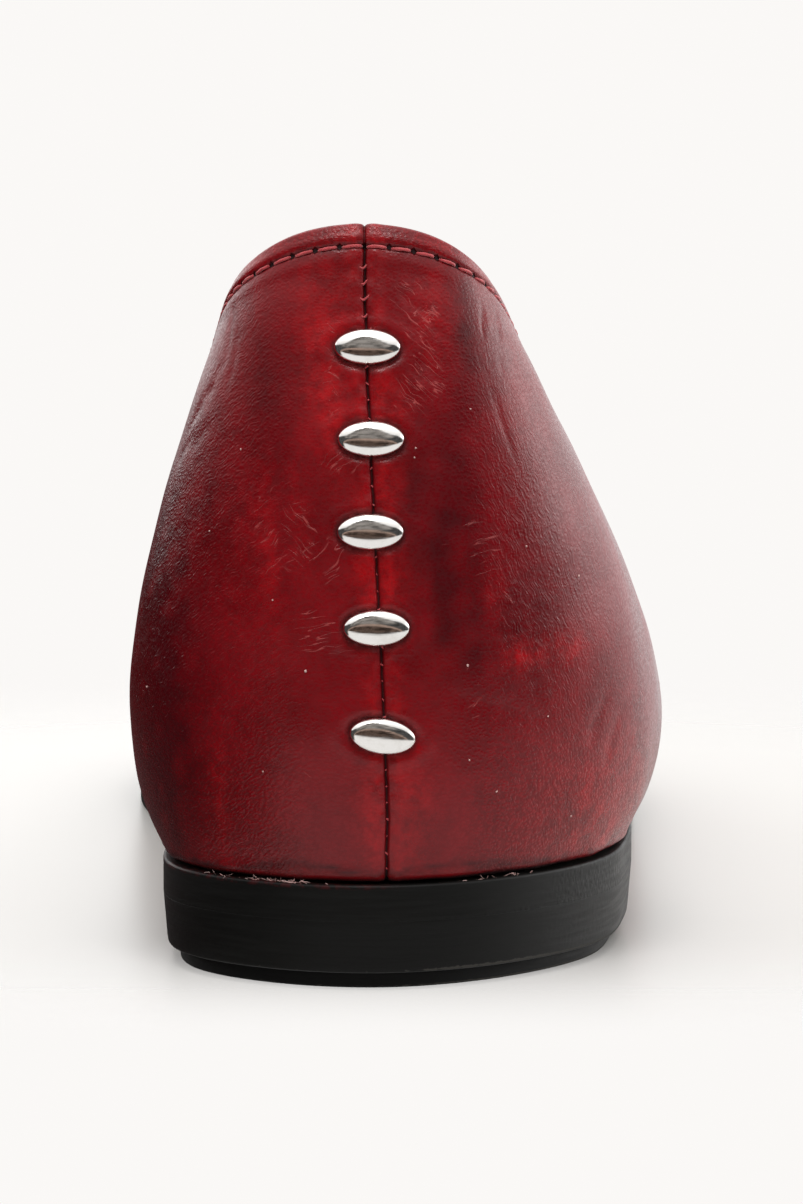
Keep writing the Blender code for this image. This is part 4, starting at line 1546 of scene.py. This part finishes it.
def make_lint(shell, material):
    """Fibres caught in the feather line, between the leather and the sole."""
    draw = np.random.default_rng(32)
    portion = np.linspace(-1, 1, 7)[:, None]
    parts = []
    for tuft in TUFTS:
        for _ in range(tuft.fibres):
            aside = tuft.aside + tuft.spread * draw.normal() * 0.6
            height = sole_top(0.0) + draw.uniform(-0.15, 0.55)
            middle, normal, across, up = surface_spot(shell, aside, height)
            reach = draw.uniform(0.25, 0.9)
            turn = draw.normal() * 0.5
            way = across * math.cos(turn) + up * math.sin(turn)
            bow = draw.normal() * 0.25
            path = middle + normal * (0.35 + draw.uniform(0, 0.3)) + way * portion * reach
            path = path + up * bow * (portion**2 - 0.5) + normal * 0.15 * (1 - portion**2)
            path[:, 2] += height - middle[2]
            frames = [np.tile(axis, (len(path), 1)) for axis in (up, normal)]
            parts.append(tube(path, *frames, np.full(len(path), draw.uniform(0.022, 0.045)), 5))
    joined_piece("feather_lint", parts, material)


# --- stage --------------------------------------------------------------------------------------------------

FLOOR_REACH = 0.45
FLOOR_AHEAD = 60.0
FLOOR_BELOW = 0.0002
FLOOR_FADE = (0.24, 0.30, 1)
CAMERA_AIM = (0.8, 0.0, 44.5)
SENSOR_HEIGHT = 36


def floor_material(settings):
    """A pale, slightly glossy floor that fades into the backdrop away from the shoe. The inner flank sees it
    dark, as it does with the other shoe of the pair beside it."""
    made, nodes, shader = new_material("Floor", {"Roughness": 0.3})
    place = nodes.add("TexCoord").outputs["Object"]
    cloudy = nodes.noise(place, 14.0, 3)
    pale = nodes.mix(nodes.step(cloudy, 0.3, 0.7, 0.0, 0.5), settings.floor, deeper(settings.floor, 0.97))
    plan = nodes.parts(nodes.scaled(place, 1 / MM))
    ahead = nodes.times_plus(plan["Y"], 0.82, nodes.times(plan["X"], -0.57))
    shaded = nodes.times(nodes.step(ahead, -48.0, -24.0), nodes.step(plan["X"], -23.0, -31.0))
    shaded = nodes.times(shaded, nodes.minus(1.0, nodes.add("LightPath").outputs["Is Camera Ray"]))
    reach = nodes.add("VectorMath", {0: nodes.vector("DIVIDE", place, FLOOR_FADE)}, operation="LENGTH")
    fading = nodes.step(reach.outputs["Value"], 1.0, 0.35)
    outputs = {
        "Base Color": nodes.mix(shaded, pale, DARK_FLOOR),
        "Specular IOR Level": nodes.times_plus(shaded, -0.25, 0.25),
        "Alpha": nodes.times(fading, nodes.step(plan["Y"], -90.0, -10.0)),
    }
    nodes.feed(shader, outputs)
    return made


def make_floor(settings):
    """A round floor, further forward than back."""
    rings, segments = 24, 96
    shape = bmesh.new()
    previous = [shape.verts.new((0, 0, 0))] * segments
    for ring in range(1, rings + 1):
        reach = FLOOR_REACH * ring / rings
        turns = [2 * math.pi * k / segments for k in range(segments)]
        current = [shape.verts.new((reach * math.cos(turn), reach * math.sin(turn), 0)) for turn in turns]
        for k in range(segments):
            corners = (previous[k - 1], current[k - 1], current[k], previous[k])
            shape.faces.new(corners[1:] if ring == 1 else corners)
        previous = current
    mesh = bpy.data.meshes.new("floor")
    shape.to_mesh(mesh)
    shape.free()
    mesh.materials.append(floor_material(settings))
    floor = bpy.data.objects.new("floor", mesh)
    floor.location = Vector(to_metres((0.0, FLOOR_AHEAD, 0.0)))
    floor.location.z = -FLOOR_BELOW
    bpy.context.scene.collection.objects.link(floor)


def light_world(settings):
    """White light overhead, behind and to the right, and a dim room low behind the camera. A turn is in
    degrees round from the camera, rising to the outer side, and a lift in degrees above the horizon."""
    world = bpy.data.worlds.new("Studio")
    world.use_nodes = True
    nodes = Nodes(world.node_tree)
    background = world.node_tree.nodes["Background"]
    way = nodes.add("TexCoord").outputs["Generated"]
    reaches = nodes.parts(way)
    lift = nodes.math("DEGREES", nodes.math("ARCSINE", reaches["Z"]))
    turn = nodes.math("DEGREES", nodes.math("ARCTAN2", reaches["X"], nodes.times(reaches["Y"], -1.0)))
    wide = nodes.size(turn)

    def hump(value, middle, reach):
        offset = nodes.math("DIVIDE", nodes.minus(value, middle), reach)
        return nodes.math("EXPONENT", nodes.times(nodes.math("POWER", nodes.size(offset), 2.0), -1.0))

    # the dim room: under a roof with a hill in its middle, above the floor's edge, and not to the right
    rightward = nodes.step(turn, 45.0, 80.0, 28.0, 12.0)
    leftward = nodes.step(turn, -85.0, -45.0, 21.0, 28.0)
    further = nodes.math("MAXIMUM", nodes.minus(nodes.times(turn, -1.0), 85.0), 0.0)
    leftward = nodes.times_plus(further, -0.25, leftward)
    side_roof = nodes.math("MINIMUM", rightward, leftward)
    roof = nodes.plus(nodes.times(hump(turn, 0.0, 20.0), 30.0), side_roof)
    softness = nodes.step(turn, -125.0, -95.0, 1.3, 4.0)
    over = nodes.minus(lift, roof)
    under_roof = nodes.step(nodes.math("DIVIDE", over, softness), -1.0, 1.0, 1.0, 0.0)
    floor_edge = nodes.step(turn, -70.0, -40.0, -42.0, -13.0)
    above_floor = nodes.step(nodes.minus(lift, floor_edge), -4.0, 4.0)
    not_right = nodes.step(nodes.times_plus(lift, 0.9, turn), 118.0, 74.0)
    dark = nodes.times(nodes.times(under_roof, above_floor), not_right)

    # the light: brighter overhead and at the back, with a panel, a glow and a lamp
    sky = nodes.step(lift, 25.0, 65.0, 1.0, settings.overhead)
    behind_left = nodes.step(turn, -150.0, -115.0, 1.6, 1.0)
    behind = nodes.plus(behind_left, nodes.step(turn, 140.0, 160.0, 0.0, 0.25))
    bright = nodes.times(nodes.times(sky, settings.light), behind)
    panel = nodes.times(hump(turn, 108.0, 27.0), hump(lift, 15.0, 11.0))
    bright = nodes.times_plus(panel, settings.panel, bright)
    glow = nodes.times(hump(over, 7.0, 8.0), hump(turn, -118.0, 22.0))
    bright = nodes.times_plus(glow, settings.glow, bright)
    lamp = nodes.step(nodes.size(nodes.minus(lift, 62.0)), 12.0, 6.0)
    lamp = nodes.times(nodes.step(wide, 32.0, 18.0), lamp)
    bright = nodes.times_plus(lamp, settings.lamp, bright)

    # what stands in the room: dim things, a paler middle, and a darker arch with a lit rim
    arch = nodes.math("POWER", nodes.math("DIVIDE", wide, 34.0), 2.0)
    over_arch = nodes.minus(lift, nodes.times_plus(arch, -14.0, 13.0))
    under_arch = nodes.step(over_arch, 0.0, -3.0)
    rim = nodes.step(over_arch, 5.0, 2.0)
    things = nodes.step(nodes.noise(way, 8.0, 4, 0.7), 0.42, 0.58)
    room = nodes.mix(things, [0.5 * settings.room] * 3, [1.8 * settings.room] * 3)
    room = nodes.mix(nodes.step(turn, -75.0, -115.0), room, ROOM_LEFT)
    middle = nodes.times(nodes.step(wide, 40.0, 28.0), nodes.step(lift, 14.0, 20.0))
    room = nodes.mix(middle, room, nodes.mix(things, *ROOM_MIDDLE))
    room = nodes.mix(rim, room, RIM_LIGHT)
    room = nodes.mix(under_arch, room, nodes.mix(things, *DARK_ARCH))

    light = nodes.mix(dark, nodes.grey(bright), room)
    seen = nodes.add("LightPath").outputs["Is Camera Ray"]
    nodes.feed(background, {"Color": nodes.mix(seen, light, settings.paper)})
    bpy.context.scene.world = world


def place_camera(settings):
    """The camera behind the heel, aimed a little over half way up it."""
    data = bpy.data.cameras.new("camera")
    camera = bpy.data.objects.new("camera", data)
    bpy.context.scene.collection.objects.link(camera)
    data.sensor_fit = "VERTICAL"
    data.sensor_height = SENSOR_HEIGHT
    data.lens = settings.lens / MM
    aim = Vector(to_metres(CAMERA_AIM))
    camera.location = Vector(to_metres((settings.aside / MM, -settings.distance / MM, settings.height / MM)))
    camera.rotation_euler = (aim - camera.location).to_track_quat("-Z", "Y").to_euler()
    bpy.context.scene.camera = camera


# --- operators ----------------------------------------------------------------------------------------------

# The leather's surface and its stitches' places, kept by the upper's operator for those after it
SHELL = {}


def need_shell():
    if "shell" not in SHELL:
        raise RuntimeError("make the leather upper first: the threads and the dust lie on it")
    return SHELL["shell"]


class FLAT_OT_upper(bpy.types.Operator):
    """Make the leather upper with its back seam, folded collar and creases"""

    bl_idname = "flat.upper"
    bl_label = "Leather upper"

    def execute(self, context):
        SHELL["shell"], SHELL["along"] = make_upper(context.scene)
        return {"FINISHED"}


class FLAT_OT_lining(bpy.types.Operator):
    """Make the lining and the sock"""

    bl_idname = "flat.lining"
    bl_label = "Lining and sock"

    def execute(self, context):
        make_lining(context.scene.flat_inside)
        make_sock(context.scene.flat_inside)
        return {"FINISHED"}


class FLAT_OT_threads(bpy.types.Operator):
    """Sew the topline and the back seam"""

    bl_idname = "flat.threads"
    bl_label = "Threads"

    def execute(self, context):
        shell = need_shell()
        material = thread_material(context.scene.flat_thread)
        make_stitches(context.scene, shell, SHELL["along"], material)
        make_seam_threads(context.scene, shell, material)
        return {"FINISHED"}


class FLAT_OT_studs(bpy.types.Operator):
    """Set the polished studs over the back seam"""

    bl_idname = "flat.studs"
    bl_label = "Studs"

    def execute(self, context):
        material = stud_material(context.scene.flat_studs)
        for number, stud in enumerate(STUDS, 1):
            make_stud(number, stud, material)
        return {"FINISHED"}


class FLAT_OT_sole(bpy.types.Operator):
    """Make the outsole"""

    bl_idname = "flat.sole"
    bl_label = "Outsole"

    def execute(self, context):
        make_outsole(context.scene.flat_sole)
        return {"FINISHED"}


class FLAT_OT_heel(bpy.types.Operator):
    """Make the heel and its lift"""

    bl_idname = "flat.heel"
    bl_label = "Heel"

    def execute(self, context):
        make_heel(context.scene.flat_sole)
        return {"FINISHED"}


class FLAT_OT_dust(bpy.types.Operator):
    """Scatter the dust and the lint at the feather line"""

    bl_idname = "flat.dust"
    bl_label = "Dust and lint"

    def execute(self, context):
        shell = need_shell()
        material = lint_material()
        make_dust(shell, material)
        make_lint(shell, material)
        return {"FINISHED"}


class FLAT_OT_stage(bpy.types.Operator):
    """Set up the floor, the soft light and the camera"""

    bl_idname = "flat.stage"
    bl_label = "Studio"

    def execute(self, context):
        settings = context.scene.flat_stage
        make_floor(settings)
        light_world(settings)
        place_camera(settings)
        context.scene.view_settings.view_transform = "Standard"
        return {"FINISHED"}


OPERATORS = (
    FLAT_OT_upper,
    FLAT_OT_lining,
    FLAT_OT_threads,
    FLAT_OT_studs,
    FLAT_OT_sole,
    FLAT_OT_heel,
    FLAT_OT_dust,
    FLAT_OT_stage,
)
SETTINGS = {
    "flat_leather": FLAT_PG_leather,
    "flat_thread": FLAT_PG_thread,
    "flat_studs": FLAT_PG_studs,
    "flat_sole": FLAT_PG_sole,
    "flat_inside": FLAT_PG_inside,
    "flat_stage": FLAT_PG_stage,
}


class FLAT_PT_shoe(bpy.types.Panel):
    """Lists the pieces of the shoe and their settings"""

    bl_idname = "FLAT_PT_shoe"
    bl_label = "Ballet flat"
    bl_space_type = "VIEW_3D"
    bl_region_type = "UI"
    bl_category = "Ballet flat"

    def draw(self, context):
        for operator in OPERATORS:
            self.layout.operator(operator.bl_idname)
        for name in SETTINGS:
            box = self.layout.box()
            for label in SETTINGS[name].__annotations__:
                box.prop(getattr(context.scene, name), label)


def register():
    for made in (*SETTINGS.values(), *OPERATORS, FLAT_PT_shoe):
        bpy.utils.register_class(made)
    for name, made in SETTINGS.items():
        setattr(bpy.types.Scene, name, PointerProperty(type=made))


def unregister():
    for name in SETTINGS:
        delattr(bpy.types.Scene, name)
    for made in (FLAT_PT_shoe, *reversed(OPERATORS), *SETTINGS.values()):
        bpy.utils.unregister_class(made)


def main():
    register()
    for operator in OPERATORS:
        module, name = operator.bl_idname.split(".")
        getattr(getattr(bpy.ops, module), name)()


if __name__ == "__main__":
    main()
